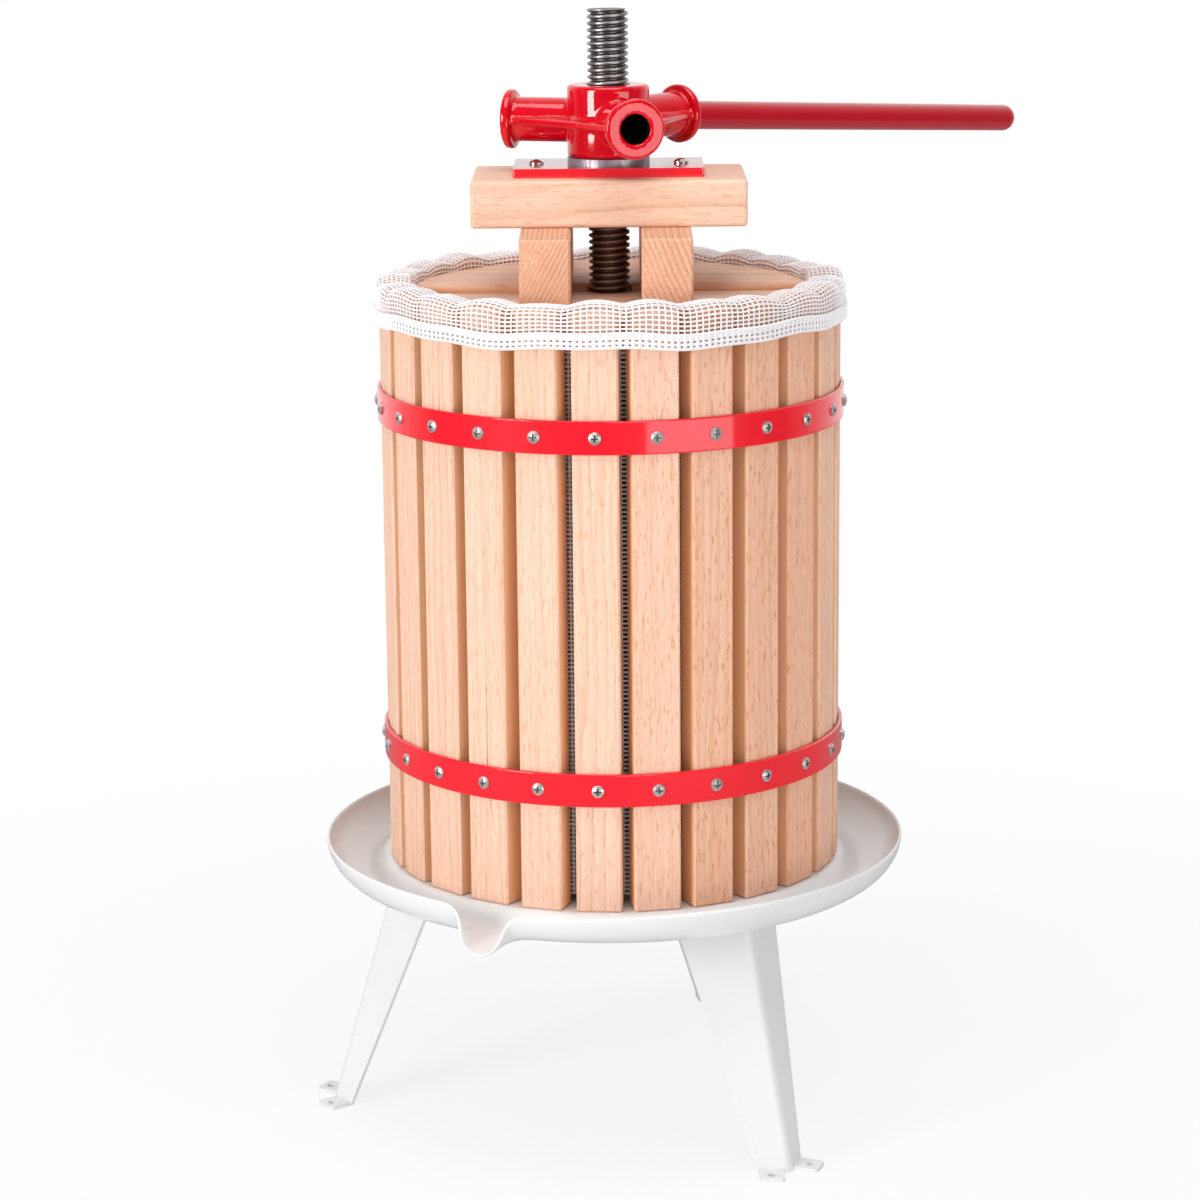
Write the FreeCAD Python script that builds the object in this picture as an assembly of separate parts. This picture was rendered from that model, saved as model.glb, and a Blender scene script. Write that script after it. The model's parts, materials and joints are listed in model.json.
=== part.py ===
# Basket wine press of the 18 litre size: a slatted basket in a net bag stands on a juice pan with
# three legs, and a hub with a lever bar runs down a fixed spindle and pushes on a stack of wood.
#
# Millimetres. The origin is on the floor under the spindle's axis and +Z is up. The front is -Y.
# Angles are in degrees around the spindle, 0 at the front and positive towards +X. Most pieces are
# modelled facing the front, with the width along X and the radius along -Y, and then turned.
import FreeCAD, Part
import math
import os

Vec = FreeCAD.Vector
Z_AXIS = Vec(0, 0, 1)
OUTWARD = Vec(0, -1, 0)

# ---- clearances
screw_gap = 0.05         # round a fastener in its own hole
seat_gap = 0.25          # between a hoop and the slats' outer corners
soft_gap = 0.4           # between the net bag and the wood round it
thread_gap = 0.3         # between the spindle's crests and the hub's bore
turn_gap = 0.1           # under the hub, where it turns on its washer
plate_gap = 1.4          # between the half plates and the net that lines the basket
slat_gap = 1.9           # least gap between two slats, at their inner corners
leg_bolt_gap = 1.0       # between the leg bolts' heads and the slats
lip_gap = 0.15           # where the leaning lever bar touches its socket
spout_crest_gap = 0.3    # from the rim's crest up to the end of the lip's bends

# ---- legs: tapered angle sections of bent sheet, leaning outwards
leg_names = ("leg_left", "leg_front_right", "leg_rear")
leg_first_angle = -84.8
leg_height = 161.0
leg_sheet = 2.5
leg_foot_r = 182.8       # radius of the ridge at the floor
leg_top_r = 136.9        # radius of the ridge under the pan
leg_foot_side = 19.6     # width of each side of the section at the floor
leg_top_side = 47.1      # and under the pan
leg_side_angle = 56.7    # between each side and the leg's radial plane
leg_bend_r = 7.0         # outside radius of the ridge
ear_length = 15.0        # floor tabs, bent outwards from each side
ear_width = 15.0
ear_corner = 3.0
ear_hole_d = 6.0
ear_hole_reach = 8.5     # from the leg's side to the hole
flap_length = 24.0       # tabs under the pan, bent inwards
flap_width = 22.0
flap_setback = 5.0       # from the free edge of the leg's side

# ---- juice pan: pressed sheet with a raised seat, a gutter round it and a pouring lip
pan_sheet = 2.0
pan_seat_margin = 4.0    # seat beyond the slats' corners
pan_gutter_depth = 10.5
pan_wall_reach = 25.8    # from the gutter's middle to the rim's outside
pan_rim_rise = 11.5      # rim above the seat
spout_angle = -25.5
spout_length = 8.5       # lip beyond the rim
spout_drop = 4.5         # lip's end below the gutter
spout_round = 12.0       # inside radius of the lip's bottom
spout_flare = 17.0       # how far the lip's sides lean out, degrees
spout_shoulder = 6.0     # radius of the bends from the lip's sides into the rim

# ---- leg bolts through the pan
leg_bolt_d = 8.0
leg_bolt_head_d = 16.0
leg_bolt_head_h = 4.4
leg_bolt_head_edge = 1.2
leg_bolt_spare = 4.0     # thread beyond the nut
leg_nut_flats = 13.0
leg_nut_h = 6.5

# ---- spindle and what holds it in the pan
spindle_d = 25.0
spindle_top_chamfer = 1.5
spindle_above_hub = 45.0
tail_d = 20.0
tail_spare = 4.0
collar_flats = 36.0
collar_h = 10.0
tail_washer_d = 60.0
tail_washer_t = 4.0
tail_nut_flats = 30.0
tail_nut_h = 16.0
nut_chamfer = 1.5

# ---- basket: slats screwed to two hoops
slat_first_angle = -3.76
slat_length = 364.0
slat_width = 29.0
slat_thickness = 18.0
slat_edge = 1.2
hoop_height = 20.0
hoop_sheet = 2.0
hoop_edge = 0.8
lower_hoop_z = 76.0      # middle of the hoop above the slats' feet
upper_hoop_z = 288.0
hoop_screw_d = 3.5
hoop_screw_length = 16.0
hoop_screw_head_d = 7.4
hoop_screw_head_h = 2.2
hoop_screw_head_edge = 0.9
cross_slot_width = 1.1
cross_slot_length = 4.2
cross_slot_depth = 1.2

# ---- net bag: lines the basket and folds over its rim
net_thickness = 1.2
net_fold_thickness = 3.0
net_rise = 4.5           # fold above the slats' tops
net_overhang = 24.0      # hem below the slats' tops
net_floor_hole_d = 64.0

# ---- stack of wood that the hub pushes down
plate_below_rim = 8.3    # top of the half plates under the slats' tops
plate_d = 240.0
plate_thickness = 22.0
plate_split = 5.0        # between the two halves
plate_split_edge = 4.0
plate_edge = 1.5
plate_notch_d = 28.0
bar_width = 30.0
bar_length = 200.0
bar_height = 42.3
bar_spacing = 72.0
bar_shift = -2.0         # the pair sits a little to the left
bar_edge = 1.2
beam_length = 166.0
beam_depth = 90.0
beam_height = 28.5
beam_edge = 2.5
beam_hole_d = 28.0

# ---- thrust plate, its screws and the washer under the hub
thrust_plate_length = 115.0
thrust_plate_depth = 62.0
thrust_plate_t = 5.6
thrust_plate_corner = 1.5
thrust_plate_hole_d = 28.0
thrust_screw_spacing = 88.0
thrust_screw_d = 5.0
thrust_screw_length = 22.0
thrust_screw_head_d = 9.4
thrust_screw_head_h = 2.8
thrust_screw_head_edge = 1.1
thrust_washer_d = 50.0
thrust_washer_t = 4.3
thrust_washer_hole_d = 27.0

# ---- cast hub with three sockets, and the lever bar that stands in one of them
hub_d = 50.0
hub_height = 43.5
hub_edge = 1.5
socket_first_angle = 14.7
socket_count = 3
lever_socket = 1         # which socket the lever bar stands in, counted from 0
socket_height = 21.5     # socket axes above the hub's foot
socket_d = 27.0
socket_flange_d = 36.0
socket_flange_t = 5.5
socket_reach = 64.0      # from the spindle's axis to the socket's mouth
socket_bore_d = 20.4
socket_floor_r = 20.0    # where the blind bore ends
web_thickness = 5.0
web_root_half = 6.0      # half of the web's width at a flange
web_waist_r = 31.0       # where its hollow side comes nearest to the spindle
lever_d = 17.7
lever_wall = 2.5
lever_end_r = 386.0      # outer end's distance from the spindle's axis
lever_droop = 4.3
lever_drain_d = 3.0
lever_drain_setback = 11.0
lever_drain_turn = 30.0  # drain hole's turn from straight below

# ---- heights and radii that follow
leg_angles = {name: leg_first_angle + 360.0 / len(leg_names) * i for i, name in enumerate(leg_names)}
socket_angles = [socket_first_angle + 360.0 / socket_count * i for i in range(socket_count)]
seat_z = leg_height + pan_sheet
slat_top_z = seat_z + slat_length
basket_inner_r = plate_d / 2 + plate_gap + net_thickness + soft_gap
slat_count = int(math.pi / math.atan((slat_width + slat_gap) / 2 / basket_inner_r))
slat_outer_r = basket_inner_r + slat_thickness
slat_corner_r = math.hypot(slat_outer_r, slat_width / 2 - slat_edge)
hoop_inner_r = slat_corner_r + seat_gap
hoop_outer_r = hoop_inner_r + hoop_sheet
pan_seat_r = math.hypot(slat_outer_r, slat_width / 2) + pan_seat_margin
pan_rim_z = seat_z + pan_rim_rise
plate_top_z = slat_top_z - plate_below_rim
beam_foot_z = plate_top_z + bar_height
beam_top_z = beam_foot_z + beam_height
washer_foot_z = beam_top_z + thrust_plate_t
hub_foot_z = washer_foot_z + thrust_washer_t + turn_gap
hub_top_z = hub_foot_z + hub_height
socket_z = hub_foot_z + socket_height
spindle_top_z = hub_top_z + spindle_above_hub
net_floor_z = seat_z + leg_bolt_head_h + soft_gap


# ---- shared shapes
def turned(shape, angle):
    """Turn a shape about the spindle's axis from the front to an angle."""
    copy = shape.copy()
    copy.rotate(Vec(0, 0, 0), Z_AXIS, angle)
    return copy


def cylinder(diameter, low_z, high_z):
    """Upright round bar on the spindle's axis."""
    return Part.makeCylinder(diameter / 2, high_z - low_z, Vec(0, 0, low_z))


def ring(outer_d, inner_d, low_z, high_z):
    """Upright ring on the spindle's axis."""
    return cylinder(outer_d, low_z, high_z).cut(cylinder(inner_d, low_z - 1, high_z + 1))


def block(length, depth, height, low_z):
    """Box centred on the spindle's axis."""
    return Part.makeBox(length, depth, height, Vec(-length / 2, -depth / 2, low_z))


def revolved(edges):
    """Solid of revolution about the spindle's axis from a closed run of edges in the XZ plane."""
    face = Part.Face(Part.Wire(Part.__sortEdges__(edges)))
    return face.revolve(Vec(0, 0, 0), Z_AXIS, 360)


def prism(outline, push):
    """Straight prism from a list of corner points."""
    return Part.Face(Part.makePolygon(outline + outline[:1])).extrude(push)


def domed_screw(shank_d, shank_length, head_d, head_h, head_edge):
    """Upright screw: the head's seat at z = 0, its low dome above and the shank below."""
    rise = head_h - head_edge
    dome_r = ((head_d / 2) ** 2 + rise ** 2) / (2 * rise)
    dome = Part.makeSphere(dome_r, Vec(0, 0, head_h - dome_r))
    head = cylinder(head_d, 0, head_h).common(dome)
    return head.fuse(cylinder(shank_d, -shank_length, 0)).removeSplitter()


def cross_recessed(screw, head_h):
    """Cut a cross recess into a screw's head."""
    for length, width in ((cross_slot_length, cross_slot_width), (cross_slot_width, cross_slot_length)):
        screw = screw.cut(block(length, width, cross_slot_depth + 1, head_h - cross_slot_depth))
    return screw


def hexagon_nut(flats, height, bore_d, low_z):
    """Hexagon nut on the spindle's axis with its corners chamfered."""
    corner_r = flats / 2 / math.cos(math.radians(30))
    corners = [turned(Part.Vertex(0, -corner_r, low_z), 60 * i).Point for i in range(6)]
    blank = cylinder(2 * corner_r + 0.5, low_z, low_z + height)
    blank = blank.makeChamfer(nut_chamfer, blank.Edges)
    nut = prism(corners, Vec(0, 0, height)).common(blank)
    return nut.cut(cylinder(bore_d, low_z - 1, low_z + height + 1))


# ---- legs
def leg_section(z):
    """Closed outline of a leg's angle section at a height, its ridge pointing to the front."""
    share = z / leg_height
    ridge_r = leg_foot_r + (leg_top_r - leg_foot_r) * share
    side = leg_foot_side + (leg_top_side - leg_foot_side) * share
    lean = math.radians(leg_side_angle)

    def point(along, inward, hand):
        """A point so far along one side from the ridge, and so far inside its outer face."""
        across = hand * (along * math.sin(lean) - inward * math.cos(lean))
        radius = ridge_r - along * math.cos(lean) - inward * math.sin(lean)
        return Vec(across, -radius, z)

    def rounded(bend_r, inward):
        """Tangent points and crest of the ridge's bend at one face of the sheet."""
        start = leg_bend_r / math.tan(lean)
        crest_r = ridge_r - leg_bend_r / math.sin(lean) + bend_r
        return point(start, inward, -1), Vec(0, -crest_r, z), point(start, inward, 1)

    outer = rounded(leg_bend_r, 0)
    inner = rounded(leg_bend_r - leg_sheet, leg_sheet)
    tips = {(hand, inward): point(side, inward, hand) for hand in (-1, 1) for inward in (0, leg_sheet)}
    edges = [Part.makeLine(tips[-1, 0], outer[0]),
             Part.Arc(*outer).toShape(),
             Part.makeLine(outer[2], tips[1, 0]),
             Part.makeLine(tips[1, 0], tips[1, leg_sheet]),
             Part.makeLine(tips[1, leg_sheet], inner[2]),
             Part.Arc(inner[2], inner[1], inner[0]).toShape(),
             Part.makeLine(inner[0], tips[-1, leg_sheet]),
             Part.makeLine(tips[-1, leg_sheet], tips[-1, 0])]
    return Part.Wire(edges)


def tab(hand, ridge_r, from_along, to_along, from_out, to_out, low_z):
    """Flat tab on one side of a leg, between two distances along the side and two outwards."""
    lean = math.radians(leg_side_angle)
    corners = []
    for along, out in ((from_along, from_out), (to_along, from_out),
                       (to_along, to_out), (from_along, to_out)):
        across = hand * (along * math.sin(lean) + out * math.cos(lean))
        radius = ridge_r - along * math.cos(lean) + out * math.sin(lean)
        corners.append(Vec(across, -radius, low_z))
    return prism(corners, Vec(0, 0, leg_sheet))


def tab_point(hand, ridge_r, along, out):
    """Position in plan of a point on a leg's tab, as (across, radius)."""
    lean = math.radians(leg_side_angle)
    across = hand * (along * math.sin(lean) + out * math.cos(lean))
    return across, ridge_r - along * math.cos(lean) + out * math.sin(lean)


def flap_bolt_along():
    """Distance along a leg's side from its ridge to its bolt."""
    return leg_top_side - flap_setback - flap_width / 2


def flap_bolt_inset():
    """How far inwards from a leg's side its bolt stands: mid-flap, or further to keep inside the slats."""
    lean = math.radians(leg_side_angle)
    along = flap_bolt_along()
    reach = basket_inner_r - leg_bolt_head_d / 2 - leg_bolt_gap
    foot = leg_top_r * math.sin(lean)
    side_r2 = along ** 2 + leg_top_r ** 2 - 2 * along * leg_top_r * math.cos(lean)
    return max(flap_length / 2, foot - math.sqrt(foot ** 2 - side_r2 + reach ** 2))


def flap_bolt_point(hand):
    """Position in plan of a leg bolt, as (across, radius)."""
    return tab_point(hand, leg_top_r, flap_bolt_along(), -flap_bolt_inset())


def make_leg():
    """Leg facing the front: angle section, two floor ears and two flaps under the pan."""
    pieces = []
    holes = []
    ear_middle = leg_foot_side - ear_width / 2
    flap_end = leg_top_side - flap_setback
    flap_reach = flap_bolt_inset() + flap_length / 2
    for hand in (-1, 1):
        ear = tab(hand, leg_foot_r, leg_foot_side - ear_width, leg_foot_side, -leg_sheet, ear_length, 0)
        outer_edges = [edge for edge in ear.Edges if is_upright(edge) and outside_leg(edge)]
        pieces.append(ear.makeFillet(ear_corner, outer_edges))
        pieces.append(tab(hand, leg_top_r, flap_end - flap_width, flap_end, -flap_reach, 0,
                          leg_height - leg_sheet))
        across, radius = tab_point(hand, leg_foot_r, ear_middle, ear_hole_reach)
        holes.append(Part.makeCylinder(ear_hole_d / 2, 2 * leg_sheet, Vec(across, -radius, -leg_sheet / 2)))
        across, radius = flap_bolt_point(hand)
        holes.append(Part.makeCylinder(leg_bolt_d / 2 + screw_gap, 2 * leg_sheet,
                                       Vec(across, -radius, leg_height - 1.5 * leg_sheet)))
    section = Part.makeLoft([leg_section(0), leg_section(leg_height)], True, True)
    return section.multiFuse(pieces).removeSplitter().cut(Part.makeCompound(holes))


def is_upright(edge):
    """True for an edge that runs along Z."""
    ends = [vertex.Point for vertex in edge.Vertexes]
    return len(ends) == 2 and math.hypot(ends[0].x - ends[1].x, ends[0].y - ends[1].y) < 1e-6


def outside_leg(edge):
    """True for an edge at the outer end of a floor ear."""
    lean = math.radians(leg_side_angle)
    point = edge.Vertexes[0].Point
    reach = (-point.y - leg_foot_r) * math.sin(lean) + abs(point.x) * math.cos(lean)
    return reach > ear_length / 2


def make_leg_fasteners():
    """Six domed bolts down through the pan and the legs' flaps, and their nuts."""
    under_flap = leg_height - leg_sheet
    length = seat_z - under_flap + leg_nut_h + leg_bolt_spare
    bolt = domed_screw(leg_bolt_d, length, leg_bolt_head_d, leg_bolt_head_h, leg_bolt_head_edge)
    nut = hexagon_nut(leg_nut_flats, leg_nut_h, leg_bolt_d + 2 * screw_gap, under_flap - leg_nut_h)
    bolts = []
    nuts = []
    for angle in leg_angles.values():
        for hand in (-1, 1):
            across, radius = flap_bolt_point(hand)
            bolts.append(turned(bolt.translated(Vec(across, -radius, seat_z)), angle))
            nuts.append(turned(nut.translated(Vec(across, -radius, 0)), angle))
    return Part.makeCompound(bolts), Part.makeCompound(nuts)


# ---- juice pan
def pan_shell():
    """Pressed bowl: flat seat, a step down into the gutter, and a wall that curves up to the rim."""
    step_r = pan_gutter_depth / 2
    step_z = seat_z - step_r
    gutter_r = pan_seat_r + 2 * step_r
    outer_rise = pan_rim_z - (seat_z - pan_gutter_depth) + pan_sheet
    hole_r = tail_d / 2 + screw_gap

    def quarter(centre_r, centre_z, radius, start):
        """Quarter circle in the XZ plane, from a start angle to 90 degrees on."""
        ends = [math.radians(start + turn) for turn in (0, 45, 90)]
        return Part.Arc(*[Vec(centre_r + radius * math.cos(a), 0, centre_z + radius * math.sin(a))
                          for a in ends]).toShape()

    def wall(reach, rise):
        """Quarter of an ellipse from the gutter's lowest line up to the rim."""
        curve = Part.Ellipse(Vec(gutter_r + reach, 0, pan_rim_z), Vec(gutter_r, 0, pan_rim_z - rise),
                             Vec(gutter_r, 0, pan_rim_z))
        low = Vec(gutter_r, 0, pan_rim_z - rise)
        high = Vec(gutter_r + reach, 0, pan_rim_z)
        first, last = sorted((curve.parameter(low), curve.parameter(high)))
        if last - first > math.pi:
            first, last = last, first + 2 * math.pi
        return curve.toShape(first, last)

    rim_r = gutter_r + pan_wall_reach - pan_sheet / 2
    rim = Part.Arc(Vec(rim_r - pan_sheet / 2, 0, pan_rim_z),
                   Vec(rim_r, 0, pan_rim_z + pan_sheet / 2),
                   Vec(rim_r + pan_sheet / 2, 0, pan_rim_z)).toShape()
    under_z = seat_z - pan_sheet
    return revolved([
        Part.makeLine(Vec(hole_r, 0, under_z), Vec(hole_r, 0, seat_z)),
        Part.makeLine(Vec(hole_r, 0, seat_z), Vec(pan_seat_r, 0, seat_z)),
        quarter(pan_seat_r, step_z, step_r, 0),
        quarter(gutter_r, step_z, step_r, 180),
        wall(pan_wall_reach - pan_sheet, outer_rise - pan_sheet),
        rim,
        wall(pan_wall_reach, outer_rise),
        quarter(gutter_r, step_z, step_r + pan_sheet, 180),
        quarter(pan_seat_r, step_z, step_r - pan_sheet, 0),
        Part.makeLine(Vec(pan_seat_r, 0, under_z), Vec(hole_r, 0, under_z))])


def spout_trough(extra):
    """Trough that slopes down to the front from the gutter's middle, fatter by `extra`.

    Its flaring sides bend outwards at the top, and run out level at the rim's crest.
    """
    run = pan_wall_reach + spout_length
    slope = spout_drop / run
    flare = math.radians(spout_flare)
    start_r = pan_seat_r + pan_gutter_depth
    round_r = spout_round + extra
    bend_r = spout_shoulder - extra
    centre_z = seat_z - pan_gutter_depth + spout_round
    crest_z = pan_rim_z + pan_sheet / 2 + spout_crest_gap + slope * (pan_wall_reach - pan_sheet / 2)
    bend_z = crest_z - spout_shoulder
    bend_x = (spout_round + spout_shoulder + (bend_z - centre_z) * math.sin(flare)) / math.cos(flare)

    def point(x, z):
        """A point of the trough's cross-section at its inner end."""
        return Vec(x, -start_r, z)

    def side(hand):
        """Corner points of one side: foot, top of the straight part, middle and end of the bend."""
        half = (math.pi / 2 - flare) / 2
        return (point(hand * round_r * math.cos(flare), centre_z - round_r * math.sin(flare)),
                point(hand * (bend_x - bend_r * math.cos(flare)), bend_z + bend_r * math.sin(flare)),
                point(hand * (bend_x - bend_r * math.sin(half)), bend_z + bend_r * math.cos(half)),
                point(hand * bend_x, bend_z + bend_r),
                point(hand * bend_x, crest_z + 2 * pan_sheet))

    left, right = side(-1), side(1)
    edges = [Part.Arc(left[0], point(0, centre_z - round_r), right[0]).toShape(),
             Part.makeLine(left[4], right[4])]
    for foot, low, middle, high, top in (left, right):
        edges.append(Part.makeLine(foot, low))
        edges.append(Part.Arc(low, middle, high).toShape())
        edges.append(Part.makeLine(high, top))
    outline = Part.Wire(Part.__sortEdges__(edges))
    return Part.Face(outline).extrude(Vec(0, -run, -spout_drop))


def make_juice_pan():
    """Pan with its pouring lip, and holes for the leg bolts."""
    gutter_r = pan_seat_r + pan_gutter_depth
    rim_r = gutter_r + pan_wall_reach
    end_r = rim_r + spout_length
    low_z = seat_z - pan_gutter_depth - pan_sheet
    end_z = low_z - spout_drop
    reach = spout_trough(pan_sheet).BoundBox.XLength
    side_view = [Vec(-reach, -gutter_r, end_z - 1), Vec(-reach, -end_r, end_z - 1),
                 Vec(-reach, -end_r, end_z + pan_sheet), Vec(-reach, -rim_r, pan_rim_z),
                 Vec(-reach, -gutter_r, pan_rim_z)]
    slanted = prism(side_view, Vec(2 * reach, 0, 0))
    hollow = revolved([
        Part.makeLine(Vec(0, 0, low_z + pan_sheet), Vec(gutter_r, 0, low_z + pan_sheet)),
        Part.Ellipse(Vec(gutter_r + pan_wall_reach - pan_sheet, 0, pan_rim_z),
                     Vec(gutter_r, 0, low_z + pan_sheet), Vec(gutter_r, 0, pan_rim_z)).toShape(
                         1.5 * math.pi, 2 * math.pi),
        Part.makeLine(Vec(rim_r - pan_sheet, 0, pan_rim_z), Vec(0, 0, pan_rim_z)),
        Part.makeLine(Vec(0, 0, pan_rim_z), Vec(0, 0, low_z + pan_sheet))])
    lip = spout_trough(pan_sheet).common(slanted).cut(hollow)
    pan = turned(pan_shell(), 180).fuse(lip).cut(spout_trough(0)).removeSplitter()
    pan = turned(pan, spout_angle)
    holes = []
    for angle in leg_angles.values():
        for hand in (-1, 1):
            across, radius = flap_bolt_point(hand)
            hole = Part.makeCylinder(leg_bolt_d / 2 + screw_gap, 3 * pan_sheet,
                                     Vec(across, -radius, seat_z - 2 * pan_sheet))
            holes.append(turned(hole, angle))
    return pan.cut(Part.makeCompound(holes))


# ---- spindle
def make_spindle():
    """Threaded spindle, drawn at its crests, with a thinner tail through the pan."""
    bar = cylinder(spindle_d, seat_z, spindle_top_z)
    top_rim = [edge for edge in bar.Edges if edge.Closed and edge.BoundBox.ZMin > seat_z + 1]
    bar = bar.makeChamfer(spindle_top_chamfer, top_rim)
    tail_foot_z = leg_height - tail_washer_t - tail_nut_h - tail_spare
    return bar.fuse(cylinder(tail_d, tail_foot_z, seat_z)).removeSplitter()


# ---- basket
def make_slat(angle):
    """Upright slat with softened edges and a pilot hole behind each hoop."""
    slat = Part.makeBox(slat_width, slat_thickness, slat_length,
                        Vec(-slat_width / 2, -slat_outer_r, seat_z))
    slat = slat.makeChamfer(slat_edge, slat.Edges)
    for height in (lower_hoop_z, upper_hoop_z):
        slat = slat.cut(hoop_screw_hole(height))
    return turned(slat, angle)


def hoop_screw_hole(height):
    """Hole for a hoop screw, from outside the hoop inwards."""
    depth = hoop_screw_length + screw_gap
    return Part.makeCylinder(hoop_screw_d / 2 + screw_gap, depth,
                             Vec(0, -hoop_outer_r, seat_z + height), -OUTWARD)


def slat_angles():
    """Angles of the slats, in order round the basket."""
    return [slat_first_angle + 360.0 / slat_count * i for i in range(slat_count)]


def make_hoop(height):
    """Flat steel hoop with a hole for each slat's screw."""
    middle_z = seat_z + height
    band = ring(2 * hoop_outer_r, 2 * hoop_inner_r, middle_z - hoop_height / 2, middle_z + hoop_height / 2)
    outer_rims = [edge for edge in band.Edges
                  if edge.Closed and abs(edge.BoundBox.XMax - hoop_outer_r) < 0.1]
    band = band.makeFillet(hoop_edge, outer_rims)
    holes = [turned(hoop_screw_hole(height), angle) for angle in slat_angles()]
    return band.cut(Part.makeCompound(holes))


def make_hoop_screws(height):
    """One hoop's screws, each with its head on the hoop and its shank in a slat."""
    screw = domed_screw(hoop_screw_d, hoop_screw_length, hoop_screw_head_d, hoop_screw_head_h,
                        hoop_screw_head_edge)
    screw = cross_recessed(screw, hoop_screw_head_h)
    screw.rotate(Vec(0, 0, 0), Vec(1, 0, 0), 90)
    screw.translate(Vec(0, -hoop_outer_r, seat_z + height))
    return Part.makeCompound([turned(screw, angle) for angle in slat_angles()])


def make_net_bag():
    """Bag inside the basket, folded over the slats' tops and hanging outside them."""
    lining_r = basket_inner_r - soft_gap
    fold_foot_z = slat_top_z + soft_gap
    fold_top_z = slat_top_z + net_rise
    hem_z = slat_top_z - net_overhang
    skirt_r = math.hypot(slat_outer_r, slat_width / 2) + soft_gap
    corners = [Vec(net_floor_hole_d / 2, 0, net_floor_z),
               Vec(lining_r, 0, net_floor_z),
               Vec(lining_r, 0, fold_foot_z),
               Vec(skirt_r, 0, fold_foot_z),
               Vec(skirt_r, 0, hem_z),
               Vec(skirt_r + net_fold_thickness, 0, hem_z),
               Vec(skirt_r + net_fold_thickness, 0, fold_top_z),
               Vec(lining_r - net_thickness, 0, fold_top_z),
               Vec(lining_r - net_thickness, 0, net_floor_z + net_thickness),
               Vec(net_floor_hole_d / 2, 0, net_floor_z + net_thickness)]
    return revolved(Part.makePolygon(corners + corners[:1]).Edges)


# ---- stack of wood
def make_half_plate(hand):
    """Half of the round press plate, in front for hand -1 and behind for hand 1."""
    foot_z = plate_top_z - plate_thickness
    disc = cylinder(plate_d, foot_z, plate_top_z)
    near_y = plate_split / 2 if hand > 0 else -plate_split / 2 - plate_d
    half = Part.makeBox(plate_d, plate_d, plate_thickness, Vec(-plate_d / 2, near_y, foot_z))
    plate = disc.common(half).cut(cylinder(plate_notch_d, foot_z - 1, plate_top_z + 1))
    top = [edge for edge in plate.Edges if edge.BoundBox.ZMin > plate_top_z - 0.01]
    split_edges = [edge for edge in top if edge.BoundBox.YLength < 0.01]
    plate = plate.makeChamfer(plate_split_edge, split_edges)
    rims = [edge for edge in plate.Edges
            if edge.BoundBox.ZLength < 0.01 and edge.BoundBox.YLength > plate_notch_d]
    return plate.makeChamfer(plate_edge, rims)


def make_press_bar(hand):
    """Bar from front to back across both half plates."""
    middle_x = bar_shift + hand * bar_spacing / 2
    bar = Part.makeBox(bar_width, bar_length, bar_height,
                       Vec(middle_x - bar_width / 2, -bar_length / 2, plate_top_z))
    return bar.makeChamfer(bar_edge, bar.Edges)


def thrust_screw_holes(diameter, low_z, high_z):
    """Two upright holes on the thrust plate's screw centres."""
    return Part.makeCompound([cylinder(diameter, low_z, high_z).translated(Vec(x, 0, 0))
                              for x in (-thrust_screw_spacing / 2, thrust_screw_spacing / 2)])


def make_beam():
    """Cross beam over the bars, with the spindle's hole and two pilot holes."""
    beam = block(beam_length, beam_depth, beam_height, beam_foot_z)
    beam = beam.makeFillet(beam_edge, beam.Edges)
    beam = beam.cut(cylinder(beam_hole_d, beam_foot_z - 1, beam_top_z + 1))
    pilot_foot_z = washer_foot_z - thrust_screw_length - screw_gap
    return beam.cut(thrust_screw_holes(thrust_screw_d + 2 * screw_gap, pilot_foot_z, beam_top_z + 1))


def make_thrust_plate():
    """Steel plate on the beam that the washer and hub press on."""
    plate = block(thrust_plate_length, thrust_plate_depth, thrust_plate_t, beam_top_z)
    plate = plate.makeFillet(thrust_plate_corner, [edge for edge in plate.Edges if is_upright(edge)])
    plate = plate.cut(cylinder(thrust_plate_hole_d, beam_top_z - 1, washer_foot_z + 1))
    return plate.cut(thrust_screw_holes(thrust_screw_d + 2 * screw_gap, beam_top_z - 1, washer_foot_z + 1))


def make_thrust_screws():
    """Two screws that hold the thrust plate on the beam."""
    screw = domed_screw(thrust_screw_d, thrust_screw_length, thrust_screw_head_d, thrust_screw_head_h,
                        thrust_screw_head_edge)
    screw = cross_recessed(screw, thrust_screw_head_h)
    return Part.makeCompound([screw.translated(Vec(x, 0, washer_foot_z))
                              for x in (-thrust_screw_spacing / 2, thrust_screw_spacing / 2)])


# ---- hub and lever bar
def hub_webs():
    """Flat web at the sockets' height, hollow-sided between each two sockets."""
    root_r = socket_reach - socket_flange_t / 2
    low_z = socket_z - web_thickness / 2
    angles = sorted(socket_angles)
    edges = []
    for first, second in zip(angles, angles[1:] + [angles[0] + 360]):
        start = turned(Part.Vertex(web_root_half, -root_r, low_z), first).Point
        end = turned(Part.Vertex(-web_root_half, -root_r, low_z), second).Point
        waist = turned(Part.Vertex(0, -web_waist_r, low_z), (first + second) / 2).Point
        across = turned(Part.Vertex(web_root_half, -root_r, low_z), second).Point
        edges.append(Part.Arc(start, waist, end).toShape())
        edges.append(Part.makeLine(end, across))
    return Part.Face(Part.Wire(edges)).extrude(Vec(0, 0, web_thickness))


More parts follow.
